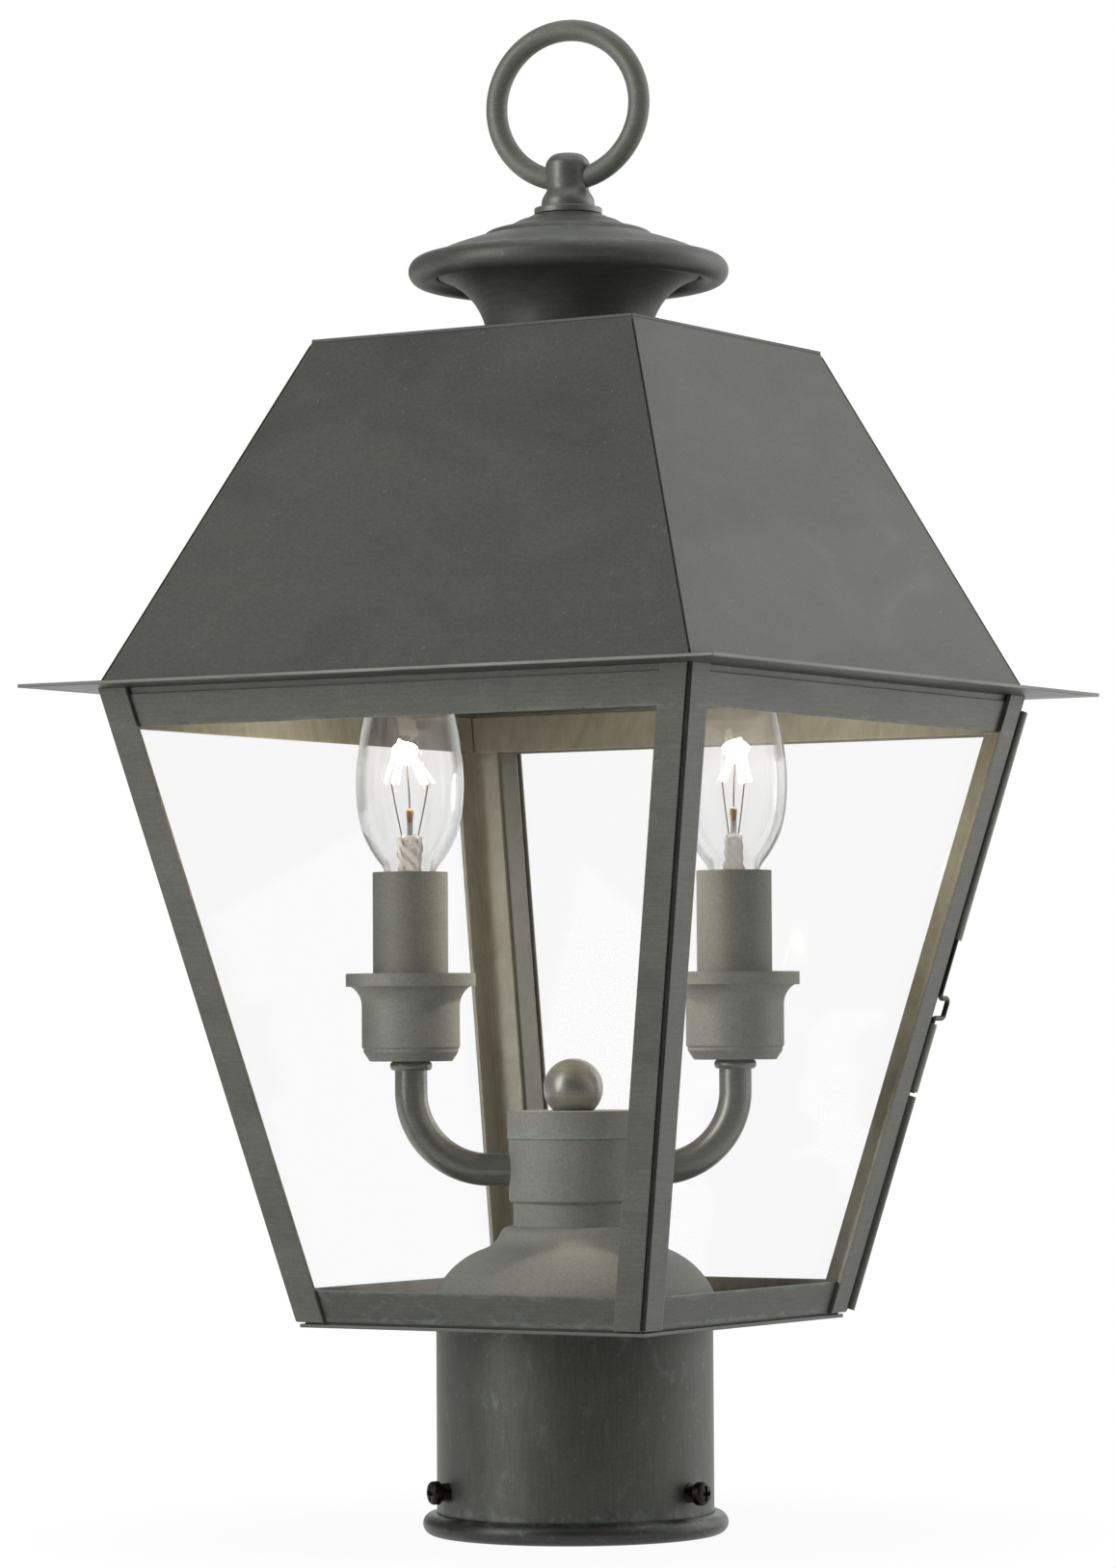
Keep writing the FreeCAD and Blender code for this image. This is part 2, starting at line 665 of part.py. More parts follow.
bridge = new_body("bridge_strap")
bridge_side = draw(bridge, "bridge_side", "XZ_Plane", [
    (BRIDGE_SPAN, PLATE_TOP),
    (BRIDGE_SPAN, f"{PLATE_TOP} + bridge_gauge"),
    (f"{FOOT_IN} + bridge_gauge / 2", f"{PLATE_TOP} + bridge_gauge"),
    (f"{CROWN_HALF} + bridge_gauge / 2", BRIDGE_TOP),
    (f"-({CROWN_HALF} + bridge_gauge / 2)", BRIDGE_TOP),
    (f"-({FOOT_IN} + bridge_gauge / 2)", f"{PLATE_TOP} + bridge_gauge"),
    (f"-{BRIDGE_SPAN}", f"{PLATE_TOP} + bridge_gauge"),
    (f"-{BRIDGE_SPAN}", PLATE_TOP),
    (f"-({FOOT_IN} - bridge_gauge / 2)", PLATE_TOP),
    (f"-({CROWN_HALF} - bridge_gauge / 2)", BRIDGE_UNDER),
    (f"{CROWN_HALF} - bridge_gauge / 2", BRIDGE_UNDER),
    (f"{FOOT_IN} - bridge_gauge / 2", PLATE_TOP),
])
raised("bridge_strap", bridge_side, bridge, "bridge_width", symmetric=True)
drilled("bridge_stem", bridge,
        circles(bridge, "bridge_stem_circle", "XY_Plane", "stem_radius + solder_gap"))
node(cut("stem_bridge", bridge, *rivet_holes), "stem_bridge")

rivets = [
    turned(f"bridge_rivet_{side}", [
        ("0", "plate_level"),
        ("rivet_radius", "plate_level"),
        ("rivet_radius", f"{PLATE_TOP} + bridge_gauge"),
        ("rivet_head_radius", f"{PLATE_TOP} + bridge_gauge", "quarter_arc_share"),
        ("rivet_tip_radius", f"{PLATE_TOP} + bridge_gauge + rivet_head_height"),
        ("0", f"{PLATE_TOP} + bridge_gauge + rivet_head_height"),
    ], placed(turn, value(RIVET_REACH), 0))
    for side, turn in (("east", 0), ("west", 180))
]
node(grouped("bridge_rivets", *rivets), "bridge_rivets")

# Base dome: a spun ogee that stands on the plate and carries the cluster

node(turned("base_dome", [
    (f"{DOME_RADIUS} - dome_gauge", PLATE_TOP),
    (DOME_RADIUS, PLATE_TOP, "dome_belly_share"),
    (DOME_WAIST_RADIUS, f"{PLATE_TOP} + dome_waist_rise", "-dome_waist_share"),
    (DOME_NECK_RADIUS, f"{PLATE_TOP} + {DOME_NECK_RISE}", "dome_shoulder_share"),
    (DOME_TOP_RADIUS, DOME_TOP),
    (STEM_HOLE, DOME_TOP),
    (STEM_HOLE, f"{DOME_TOP} - dome_gauge"),
    (f"{DOME_TOP_RADIUS} - dome_gauge / 2", f"{DOME_TOP} - dome_gauge", "-dome_shoulder_share"),
    (f"{DOME_NECK_RADIUS} - dome_gauge", f"{PLATE_TOP} + {DOME_NECK_RISE} - dome_gauge / 2", "dome_waist_share"),
    (f"{DOME_WAIST_RADIUS} - dome_gauge / 2", f"{PLATE_TOP} + dome_waist_rise - dome_gauge",
     "-dome_belly_share"),
]), "base_dome")

# Cluster: neck, hub and lid stand on the dome, drawn together by the ball on the stem

HUB_TOP = f"({HUB_FOOT} + hub_height)"
LID_TOP = f"({HUB_TOP} + lid_height)"
BALL_FOOT_RADIUS = f"({STEM_HOLE} + ball_foot_wall)"
BALL_SEAT = f"sqrt(ball_radius^2 - {BALL_FOOT_RADIUS}^2)"
BALL_CENTRE = f"({LID_TOP} + {BALL_SEAT})"
LAMP_TURN = value("lamp_angle")

node(turned("hub_neck", [
    ("neck_radius - neck_wall", DOME_TOP),
    ("neck_radius", DOME_TOP),
    ("neck_radius", HUB_FOOT),
    ("neck_radius - neck_wall", HUB_FOOT),
]), "hub_neck")

hub = turned("hub_cup", [
    (STEM_HOLE, HUB_FOOT),
    ("hub_radius - hub_bevel", HUB_FOOT),
    ("hub_radius", f"{HUB_FOOT} + hub_bevel"),
    ("hub_radius", HUB_TOP),
    ("hub_radius - hub_wall", HUB_TOP),
    ("hub_radius - hub_wall", f"{HUB_FOOT} + hub_wall"),
    (STEM_HOLE, f"{HUB_FOOT} + hub_wall"),
])
arm_hole = cylinder("arm_hole", "arm_radius + solder_gap", "2 * (hub_radius + overrun)",
                    placed(0, -value("hub_radius + overrun"), value(ARM_LEVEL))
                    * FreeCAD.Placement(V(), FreeCAD.Rotation(V(0, 1, 0), QUARTER_TURN)))
hub_cut = cut("hub_body", hub, arm_hole)
hub_cut.Placement = placed(LAMP_TURN)
node(hub_cut, "hub_body")

node(turned("hub_lid", [
    ("lid_radius - hub_wall", HUB_TOP),
    ("lid_radius", HUB_TOP),
    ("lid_radius", LID_TOP),
    (STEM_HOLE, LID_TOP),
    (STEM_HOLE, f"{LID_TOP} - hub_wall"),
    ("lid_radius - hub_wall", f"{LID_TOP} - hub_wall"),
]), "hub_lid")

node(turned("ball_finial", [
    (STEM_HOLE, LID_TOP),
    (BALL_FOOT_RADIUS, LID_TOP, "ball_foot_share"),
    ("ball_radius", BALL_CENTRE, "quarter_arc_share"),
    ("ball_tip_radius", f"{BALL_CENTRE} + ball_radius"),
    ("0", f"{BALL_CENTRE} + ball_radius"),
    ("0", BALL_CENTRE),
    (STEM_HOLE, BALL_CENTRE),
]), "ball_finial")

# Stem: the threaded lamp pipe, with a window each way for the leads

stem_pipe = turned("centre_stem_pipe", [
    (STEM_BORE_RADIUS, STEM_FOOT),
    ("stem_radius", STEM_FOOT),
    ("stem_radius", f"{BALL_CENTRE} - solder_gap"),
    (STEM_BORE_RADIUS, f"{BALL_CENTRE} - solder_gap"),
])
window = bind(doc.addObject("Part::Box", "stem_window"),
              Length="2 * (stem_radius + overrun)", Width="stem_window_width",
              Height="lead_bend_radius + 2 * stem_window_width / 2")
window.Placement = FreeCAD.Placement(
    V(-value("stem_radius + overrun"), -value("stem_window_width / 2"),
      value(f"{ARM_LEVEL} - lead_bend_radius - stem_window_width / 2")), FreeCAD.Rotation())
stem = cut("centre_stem_cut", stem_pipe, window)
stem.Placement = placed(LAMP_TURN)
node(stem, "centre_stem")


def hex_nut(label, radius, height, bore, level):
    blank = bind(doc.addObject("Part::Prism", label + "_blank"), Circumradius=radius, Height=height)
    blank.Polygon = 6
    hole = cylinder(label + "_bore", bore, f"({height}) + 2 * overrun", placed(0, 0, -value("overrun")))
    nut = cut(label, blank, hole)
    nut.Placement = placed(0, 0, value(level))
    return nut


node(hex_nut("stem_locknut", NUT_RADIUS, "nut_height", STEM_HOLE,
             f"{BRIDGE_UNDER} - nut_height"), "stem_locknut")

# Lamp arms and their leads, bent up a quarter turn under each candle

BEND_START = "(lamp_reach - arm_bend_radius)"
BEND_END = f"({ARM_LEVEL} + arm_bend_radius)"
LEAD_FOOT = f"({STEM_FOOT} + solder_gap)"
SIDES = (("right", LAMP_TURN), ("left", LAMP_TURN + 180))
leads = []

for side, turn in SIDES:
    arm = new_body(f"lamp_arm_{side}", placed(turn))
    arm_line = draw(arm, f"lamp_arm_{side}_line", "XZ_Plane", [
        ("arm_start", ARM_LEVEL),
        (BEND_START, ARM_LEVEL, "quarter_arc_share"),
        ("lamp_reach", BEND_END),
        ("lamp_reach", ARM_TOP),
    ], closed=False)
    arm_ring = circles(arm, f"lamp_arm_{side}_ring", "YZ_Plane", "arm_radius", "arm_radius - arm_wall")
    arm_ring.setExpression("AttachmentOffset.Base.z", linked("arm_start"))
    arm_ring.setExpression("AttachmentOffset.Base.y", linked(ARM_LEVEL))
    arm_pipe = arm.newObject("PartDesign::AdditivePipe", f"lamp_arm_{side}_pipe")
    arm_pipe.Profile = arm_ring
    arm_pipe.Spine = (arm_line, [])
    node(arm, f"lamp_arm_{side}")

    lead = new_body(f"lead_wire_{side}", placed(turn))
    lead_line = draw(lead, f"lead_wire_{side}_line", "XZ_Plane", [
        ("lead_offset", LEAD_FOOT),
        ("lead_offset", f"{ARM_LEVEL} - lead_bend_radius", "-quarter_arc_share"),
        ("lead_offset + lead_bend_radius", ARM_LEVEL),
        (BEND_START, ARM_LEVEL, "quarter_arc_share"),
        ("lamp_reach", BEND_END),
        ("lamp_reach", LEAD_TOP),
    ], closed=False)
    lead_ring = circles(lead, f"lead_wire_{side}_ring", "XY_Plane", "lead_radius")
    lead_ring.setExpression("AttachmentOffset.Base.x", linked("lead_offset"))
    lead_ring.setExpression("AttachmentOffset.Base.z", linked(LEAD_FOOT))
    lead_pipe = lead.newObject("PartDesign::AdditivePipe", f"lead_wire_{side}_pipe")
    lead_pipe.Profile = lead_ring
    lead_pipe.Spine = (lead_line, [])
    leads.append(lead)

node(grouped("lead_wires", *leads), "lead_wires")

# Candle lamps: collar, cup, candle sleeve, socket and bulb, all about the lamp's own axis

ARM_HOLE = "(arm_radius + solder_gap)"
CUP_GROOVE = f"({CUP_LEVEL} + cup_taper_rise)"
SOCKET_BORE = "(bulb_base_radius + solder_gap + socket_shell_gauge)"
SOCKET_TOP = f"({BULB_BASE_TOP} - bulb_base_collar_height)"
COLLAR_FOOT = f"({CUP_LEVEL} - collar_height)"
collars = []
shells = []
mounts = []

for side, turn in SIDES:
    there = placed(turn, value("lamp_reach"))
    collars.append(turned(f"arm_collar_{side}", [
        (ARM_HOLE, COLLAR_FOOT),
        ("collar_radius", COLLAR_FOOT),
        ("collar_radius", CUP_LEVEL),
        (ARM_HOLE, CUP_LEVEL),
    ], there))
    node(turned(f"candle_cup_{side}", [
        (ARM_HOLE, CUP_LEVEL),
        (CUP_FOOT_RADIUS, CUP_LEVEL),
        (f"{CUP_BODY_RADIUS} - cup_groove_depth", f"{CUP_GROOVE} - cup_groove_rise"),
        (f"{CUP_BODY_RADIUS} - cup_groove_depth", CUP_GROOVE),
        (CUP_BODY_RADIUS, f"{CUP_GROOVE} + cup_groove_depth"),
        (CUP_BODY_RADIUS, f"{CUP_LEVEL} + cup_body_rise", "-cup_flare_share"),
        (CUP_THROAT_RADIUS, f"{CUP_LEVEL} + {CUP_FLARE_RISE}"),
        (CUP_RIM_RADIUS, f"{CUP_LEVEL} + {CUP_FLARE_RISE}"),
        (CUP_RIM_RADIUS, f"{CUP_LEVEL} + {CUP_RIM_RISE}"),
        (CUP_THROAT_RADIUS, f"{CUP_LEVEL} + {CUP_RIM_RISE}"),
        (f"{CUP_BODY_RADIUS} - cup_wall", f"{CUP_LEVEL} + cup_body_rise"),
        (f"{CUP_BODY_RADIUS} - cup_wall", f"{CUP_GROOVE} + cup_groove_depth"),
        (f"{CUP_FOOT_RADIUS} - cup_wall / 2", CUP_FLOOR),
        (ARM_HOLE, CUP_FLOOR),
    ], there), f"candle_cup_{side}")
    node(turned(f"candle_sleeve_{side}", [
        ("candle_radius - candle_wall", CUP_FLOOR),
        ("candle_radius", CUP_FLOOR),
        ("candle_radius", CANDLE_TOP),
        ("candle_radius - candle_wall", CANDLE_TOP),
    ], there), f"candle_sleeve_{side}")
    node(turned(f"lamp_socket_{side}", [
        (ARM_HOLE, CUP_FLOOR),
        ("socket_foot_radius", CUP_FLOOR),
        ("socket_foot_radius", SOCKET_SHOULDER),
        (SOCKET_RADIUS, SOCKET_SHOULDER),
        (SOCKET_RADIUS, SOCKET_TOP),
        (SOCKET_BORE, SOCKET_TOP),
        (SOCKET_BORE, SOCKET_FLOOR),
        ("lead_hole_radius", SOCKET_FLOOR),
        ("lead_hole_radius", SOCKET_SHOULDER),
        (ARM_HOLE, SOCKET_SHOULDER),
    ], there), f"lamp_socket_{side}")
    shells.append(turned(f"socket_shell_{side}", [
        ("bulb_base_radius + solder_gap", SOCKET_FLOOR),
        (SOCKET_BORE, SOCKET_FLOOR),
        (SOCKET_BORE, SOCKET_TOP),
        ("bulb_base_radius + solder_gap", SOCKET_TOP),
    ], there))
    node(turned(f"bulb_base_{side}", [
        ("0", f"{BULB_BASE_FOOT} - bulb_contact_height"),
        ("bulb_contact_radius", f"{BULB_BASE_FOOT} - bulb_contact_height"),
        ("bulb_contact_radius", BULB_BASE_FOOT),
        ("bulb_base_radius", BULB_BASE_FOOT),
        ("bulb_base_radius", SOCKET_TOP),
        (BULB_BASE_COLLAR_RADIUS, SOCKET_TOP),
        (BULB_BASE_COLLAR_RADIUS, BULB_BASE_TOP),
        ("bulb_base_radius - bulb_base_wall", BULB_BASE_TOP),
        ("bulb_base_radius - bulb_base_wall", f"{BULB_BASE_FOOT} + bulb_base_floor"),
        ("0", f"{BULB_BASE_FOOT} + bulb_base_floor"),
    ], there), f"bulb_base_{side}")
    node(turned(f"bulb_glass_{side}", [
        (f"{BULB_NECK_RADIUS} - bulb_glass_gauge", BULB_BASE_TOP),
        (BULB_NECK_RADIUS, BULB_BASE_TOP),
        (BULB_NECK_RADIUS, BULB_NECK_TOP, "bulb_lower_share"),
        ("bulb_belly_radius", BULB_BELLY_LEVEL, "bulb_upper_share"),
        ("bulb_tip_radius", BULB_TIP_LEVEL, "bulb_tip_share"),
        ("bulb_tip_flat_radius", BULB_TOP),
        ("0", BULB_TOP),
        ("0", f"{BULB_TOP} - bulb_glass_gauge"),
        ("bulb_tip_flat_radius", f"{BULB_TOP} - bulb_glass_gauge", "-bulb_tip_share"),
        ("bulb_tip_radius - bulb_glass_gauge", BULB_TIP_LEVEL, "-bulb_upper_share"),
        ("bulb_belly_radius - bulb_glass_gauge", BULB_BELLY_LEVEL, "-bulb_lower_share"),
        (f"{BULB_NECK_RADIUS} - bulb_glass_gauge", BULB_NECK_TOP),
    ], there), f"bulb_glass_{side}")
    mounts.append(turned(f"bulb_mount_{side}", [
        ("0", BULB_BASE_TOP),
        (MOUNT_FLARE_RADIUS, BULB_BASE_TOP),
        (MOUNT_FLARE_RADIUS, f"{BULB_BASE_TOP} + mount_flare_height"),
        ("mount_waist_radius", MOUNT_WAIST_LEVEL),
        ("mount_press_radius", MOUNT_PRESS_LEVEL),
        ("mount_press_radius", MOUNT_TOP),
        ("0", MOUNT_TOP),
    ], there))

node(grouped("arm_collars", *collars), "arm_collars")
node(grouped("socket_shells", *shells), "socket_shells")
node(grouped("bulb_mounts", *mounts), "bulb_mounts")


def rod(start, end, radius):
    """A round rod between two points, with rounded ends."""
    length = end.sub(start)
    shaft = Part.makeCylinder(radius, length.Length, start, length)
    return shaft.fuse(Part.makeSphere(radius, end))


def filament(label, turn):
    """Two supports that lean apart from the mount, with the filament strung up and over between."""
    foot = value("filament_foot_spread")
    head = value("filament_head_spread")
    thick = value("filament_wire_radius")
    tops = [V(side * head, 0, value(FILAMENT_HEAD_LEVEL)) for side in (1, -1)]
    feet = [V(side * foot, 0, value(MOUNT_TOP)) for side in (1, -1)]
    peak = V(0, 0, value(FILAMENT_PEAK_LEVEL))
    rods = [rod(feet[0], tops[0], thick), rod(feet[1], tops[1], thick)]
    rods += [rod(tops[0], peak, thick), rod(tops[1], peak, thick)]
    piece = doc.addObject("Part::Feature", label)
    piece.Shape = rods[0].multiFuse(rods[1:])
    piece.Placement = placed(turn, value("lamp_reach"))
    return piece


node(grouped("bulb_filaments", *[filament(f"bulb_filament_{side}", turn) for side, turn in SIDES]),
     "bulb_filaments")

# Lantern frame: four corner angles that lean out together

LEAN = "(post_spread / post_height)"
CORNER = "post_foot_half"
POST_NODES = ("corner_post_front", "corner_post_right", "corner_post_rear", "corner_post_left")

for turns, label in enumerate(POST_NODES):
    post = new_body(label, placed(QUARTER_TURN * turns, 0, value(POST_FOOT)))
    angle = draw(post, label + "_angle", "XY_Plane", [
        (f"{CORNER} - post_leg", f"-{CORNER}"),
        (f"{CORNER} - seam_width", f"-{CORNER}"),
        (f"{CORNER} - seam_width", f"-({CORNER} - seam_depth)"),
        (CORNER, f"-({CORNER} - seam_depth)"),
        (CORNER, f"-({CORNER} - post_leg)"),
        (f"{CORNER} - post_gauge", f"-({CORNER} - post_leg)"),
        (f"{CORNER} - post_gauge", f"-({CORNER} - post_gauge)"),
        (f"{CORNER} - post_leg", f"-({CORNER} - post_gauge)"),
    ])
    run = post.newObject("PartDesign::Pad", label + "_run")
    run.Profile = angle
    run.UseCustomVector = True
    run.AlongSketchNormal = True
    run.Direction = V(value(LEAN), -value(LEAN), 1)
    for name, rule in (("Direction.x", LEAN), ("Direction.y", f"-{LEAN}"),
                       ("Length", f"{EAVE_LEVEL} - {POST_FOOT}")):
        run.setExpression(name, linked(rule))
    node(post, label)


def half_at(level):
    """The lantern's half width to its posts' outer faces at a height."""
    return f"(post_foot_half + {LEAN} * (({level}) - {POST_FOOT}))"


def slab(label, low, high, near, far, left, right, turns=0):
    """A plate that leans with the front left face, turned on to one of the four faces. `near` and
    `far` are depths in from the posts' outer face; in `left` and `right` HALF is the half width."""
    plank = doc.addObject("Part::Wedge", label)
    lower, upper = half_at(low), half_at(high)
    bind(plank, Ymin=low, Ymax=high,
         Xmin=left.replace("HALF", lower), Xmax=right.replace("HALF", lower),
         X2min=left.replace("HALF", upper), X2max=right.replace("HALF", upper),
         Zmin=f"{lower} - ({far})", Zmax=f"{lower} - ({near})",
         Z2min=f"{upper} - ({far})", Z2max=f"{upper} - ({near})")
    upright = FreeCAD.Placement(V(), FreeCAD.Rotation(V(1, 0, 0), QUARTER_TURN))
    plank.Placement = placed(QUARTER_TURN * turns) * upright
    return plank


# Rails lap behind the posts' legs; a rebated foot or head meets the plate or the eave

FACES = ("front_left", "front_right", "rear_right", "rear_left")
RAIL_BACK = "post_gauge + rail_gauge"
RAIL_ENDS = ("-(HALF - rail_corner_gap)", "HALF - rail_corner_gap")
top_rails = []
bottom_rails = []
for turns, face in enumerate(FACES):
    top_rails.append(fused(
        f"top_rail_{face}",
        slab(f"top_rail_face_{face}", TOP_RAIL_FOOT, TOP_RAIL_TOP, "post_gauge", RAIL_BACK,
             *RAIL_ENDS, turns),
        slab(f"top_rail_head_{face}", TOP_RAIL_TOP, EAVE_LEVEL, "post_gauge + rail_step_depth",
             RAIL_BACK, *RAIL_ENDS, turns)))
    step = f"{PLATE_TOP} + bottom_rail_step"
    bottom_rails.append(fused(
        f"bottom_rail_{face}",
        slab(f"bottom_rail_face_{face}", step, BOTTOM_RAIL_TOP, "post_gauge", RAIL_BACK,
             *RAIL_ENDS, turns),
        slab(f"bottom_rail_foot_{face}", PLATE_TOP, step, "post_gauge + rail_step_depth",
             RAIL_BACK, *RAIL_ENDS, turns)))
node(grouped("top_rails", *top_rails), "top_rails")
node(grouped("bottom_rails", *bottom_rails), "bottom_rails")

# Three fixed panes stand on the plate against the rails, kept there by soldered cleats

GLASS_FACE = f"({RAIL_BACK} + glass_seat_gap)"
GLASS_BACK = f"({GLASS_FACE} + glass_gauge)"
CLEAT_FACE = f"({GLASS_BACK} + glass_seat_gap)"
cleats = []
for turns, face in enumerate(FACES):
    if face == "rear_right":
        continue
    node(slab(f"glass_pane_{face}", PLATE_TOP, GLASS_TOP, GLASS_FACE, GLASS_BACK,
              "-(HALF - glass_corner_gap)", "HALF - glass_corner_gap", turns), f"glass_pane_{face}")
    for sign, side in ((1, "a"), (-1, "b")):
        centre = f"{sign} * cleat_spread_share * HALF"
        ends = (f"{centre} - cleat_width / 2", f"{centre} + cleat_width / 2")
        cleats.append(slab(f"lower_cleat_{face}_{side}", PLATE_TOP, f"{PLATE_TOP} + cleat_height",
                           CLEAT_FACE, f"{CLEAT_FACE} + cleat_gauge", *ends, turns))
        cleats.append(slab(f"upper_cleat_{face}_{side}", f"{EAVE_LEVEL} - cleat_height", EAVE_LEVEL,
                           CLEAT_FACE, f"{CLEAT_FACE} + cleat_gauge", *ends, turns))
node(grouped("glass_cleats", *cleats), "glass_cleats")

# Eave plate: a flat sheet that stands out past the roof and carries it

def frame_plate(label, half, gauge, level):
    body = new_body(label, placed(0, 0, value(level)))
    raised(label, square(body, label + "_outline", half), body, gauge)
    return body


eave_sheet = frame_plate("eave_sheet", EAVE_HALF, "eave_gauge", EAVE_LEVEL)
eave_opening = bind(doc.addObject("Part::Box", "eave_opening"),
                    Length=f"2 * {EAVE_OPENING_HALF}", Width=f"2 * {EAVE_OPENING_HALF}",
                    Height="eave_gauge + 2 * overrun")
eave_opening.Placement = FreeCAD.Placement(
    V(-value(EAVE_OPENING_HALF), -value(EAVE_OPENING_HALF), value(f"{EAVE_LEVEL} - overrun")),
    FreeCAD.Rotation())
node(cut("eave_plate", eave_sheet, eave_opening), "eave_plate")


# Roof: four sheets folded and soldered into one hipped shell, with a flat plate on its head

ROOF_SLOPE = f"(({ROOF_FOOT_HALF} - roof_head_half) / ({ROOF_HEAD} - {EAVE_TOP}))"


def pyramid(label, low, high, inset):
    """A square frustum that follows the roof's slope, drawn in by `inset`."""
    solid = doc.addObject("Part::Wedge", label)
    lower = f"({ROOF_FOOT_HALF} - {ROOF_SLOPE} * (({low}) - {EAVE_TOP}) - ({inset}))"
    upper = f"({ROOF_FOOT_HALF} - {ROOF_SLOPE} * (({high}) - {EAVE_TOP}) - ({inset}))"
    bind(solid, Ymin=low, Ymax=high, Xmin=f"-{lower}", Xmax=lower, X2min=f"-{upper}", X2max=upper,
         Zmin=f"-{lower}", Zmax=lower, Z2min=f"-{upper}", Z2max=upper)
    solid.Placement = FreeCAD.Placement(V(), FreeCAD.Rotation(V(1, 0, 0), QUARTER_TURN))
    return solid


node(cut("roof_shell", pyramid("roof_outside", EAVE_TOP, ROOF_HEAD, "0"),
         pyramid("roof_inside", f"{EAVE_TOP} - overrun", f"{ROOF_HEAD} + overrun", "roof_wall")),
     "roof_shell")

top_sheet = frame_plate("roof_top_sheet", "roof_head_half", "roof_top_gauge", ROOF_HEAD)
drilled("roof_top_sheet", top_sheet,
        circles(top_sheet, "roof_top_circle", "XY_Plane", "chimney_radius - chimney_gauge"))
node(top_sheet, "roof_top_plate")

# Chimney: a spun funnel on the roof's head, open at the top

node(turned("chimney", [
    ("chimney_radius - chimney_gauge", ROOF_TOP),
    ("chimney_radius", ROOF_TOP),
    ("chimney_radius", COLLAR_TOP, "-chimney_flare_share"),
    (CHIMNEY_RIM_RADIUS, f"{CHIMNEY_RIM_LEVEL} - chimney_gauge"),
    (CHIMNEY_RIM_RADIUS, CHIMNEY_RIM_LEVEL),
    (f"{CHIMNEY_RIM_RADIUS} - chimney_gauge", CHIMNEY_RIM_LEVEL, "chimney_flare_share"),
    ("chimney_radius - chimney_gauge", f"{COLLAR_TOP} + chimney_gauge"),
]), "chimney")

# Strap across the chimney, with the stud and nuts that carry the cap and the finial

strap = bind(doc.addObject("Part::Box", "cap_strap_bar"), Length=f"2 * {CHIMNEY_RIM_RADIUS}",
             Width="strap_width", Height="strap_gauge")
strap.Placement = FreeCAD.Placement(
    V(-value(CHIMNEY_RIM_RADIUS), -value("strap_width / 2"), value(CHIMNEY_RIM_LEVEL)),
    FreeCAD.Rotation())
STUD_HOLE = "(stud_radius + solder_gap)"
strap_hole = cylinder("cap_strap_hole", STUD_HOLE, "strap_gauge + 2 * overrun",
                      placed(0, 0, value(f"{CHIMNEY_RIM_LEVEL} - overrun")))
node(cut("cap_strap", strap, strap_hole), "cap_strap")
node(cylinder("cap_stud", "stud_radius", f"{STUD_TOP} - {STUD_FOOT}", placed(0, 0, value(STUD_FOOT))),
     "cap_stud")

# Smoke cap: a spun dome with one step, its rim curled under into a bead

CAP_UNDER = f"({CAP_CROWN_LEVEL} - cap_gauge)"
CAP_HOLE = STUD_HOLE
STEP_FOOT = f"({CAP_STEP_LEVEL} - cap_step_drop)"
ROLL_IN = "(cap_roll_radius - cap_gauge)"

node(turned("smoke_cap", [
    (CAP_HOLE, CAP_UNDER),
    (CAP_HOLE, CAP_CROWN_LEVEL),
    ("cap_crown_radius", CAP_CROWN_LEVEL, "-cap_crown_share"),
    ("cap_step_radius", CAP_STEP_LEVEL),
    ("cap_step_radius", STEP_FOOT, "-cap_skirt_share"),
    (CAP_SKIRT_RADIUS, CAP_SKIRT_LEVEL),
    (CAP_ROLL_CENTRE, f"{CAP_ROLL_LEVEL} + cap_roll_radius", "-quarter_arc_share"),
    (f"{CAP_ROLL_CENTRE} + cap_roll_radius", CAP_ROLL_LEVEL, "-quarter_arc_share"),
    (CAP_ROLL_CENTRE, f"{CAP_ROLL_LEVEL} - cap_roll_radius", "-quarter_arc_share"),
    (f"{CAP_ROLL_CENTRE} - cap_roll_radius", CAP_ROLL_LEVEL),
    (f"{CAP_ROLL_CENTRE} - {ROLL_IN}", CAP_ROLL_LEVEL, "quarter_arc_share"),
    (CAP_ROLL_CENTRE, f"{CAP_ROLL_LEVEL} - {ROLL_IN}", "quarter_arc_share"),
    (f"{CAP_ROLL_CENTRE} + {ROLL_IN}", CAP_ROLL_LEVEL, "quarter_arc_share"),
    (CAP_ROLL_CENTRE, f"{CAP_ROLL_LEVEL} + {ROLL_IN}"),
    (f"{CAP_SKIRT_RADIUS} - cap_gauge / 2", f"{CAP_SKIRT_LEVEL} - cap_gauge", "cap_skirt_share"),
    ("cap_step_radius - cap_gauge", f"{STEP_FOOT} - cap_gauge"),
    ("cap_step_radius - cap_gauge", f"{CAP_STEP_LEVEL} - cap_gauge", "cap_crown_share"),
    ("cap_crown_radius", CAP_UNDER),
]), "smoke_cap")

cap_nuts = [
    hex_nut(f"cap_nut_{place}", "cap_nut_radius", "cap_nut_height", STUD_HOLE, level)
    for place, level in (
        ("under_strap", f"{CHIMNEY_RIM_LEVEL} - cap_nut_height"),
        ("over_strap", f"{CHIMNEY_RIM_LEVEL} + strap_gauge"),
        ("under_crown", f"{CAP_UNDER} - cap_nut_height"))
]
node(grouped("cap_nuts", *cap_nuts), "cap_nuts")

# Finial washer, the finial's barrel, and the ring brazed through it

node(turned("finial_washer", [
    (STUD_HOLE, CAP_CROWN_LEVEL),
    (WASHER_RADIUS, CAP_CROWN_LEVEL),
    (WASHER_RADIUS, WASHER_TOP),
    (STUD_HOLE, WASHER_TOP),
]), "finial_washer")

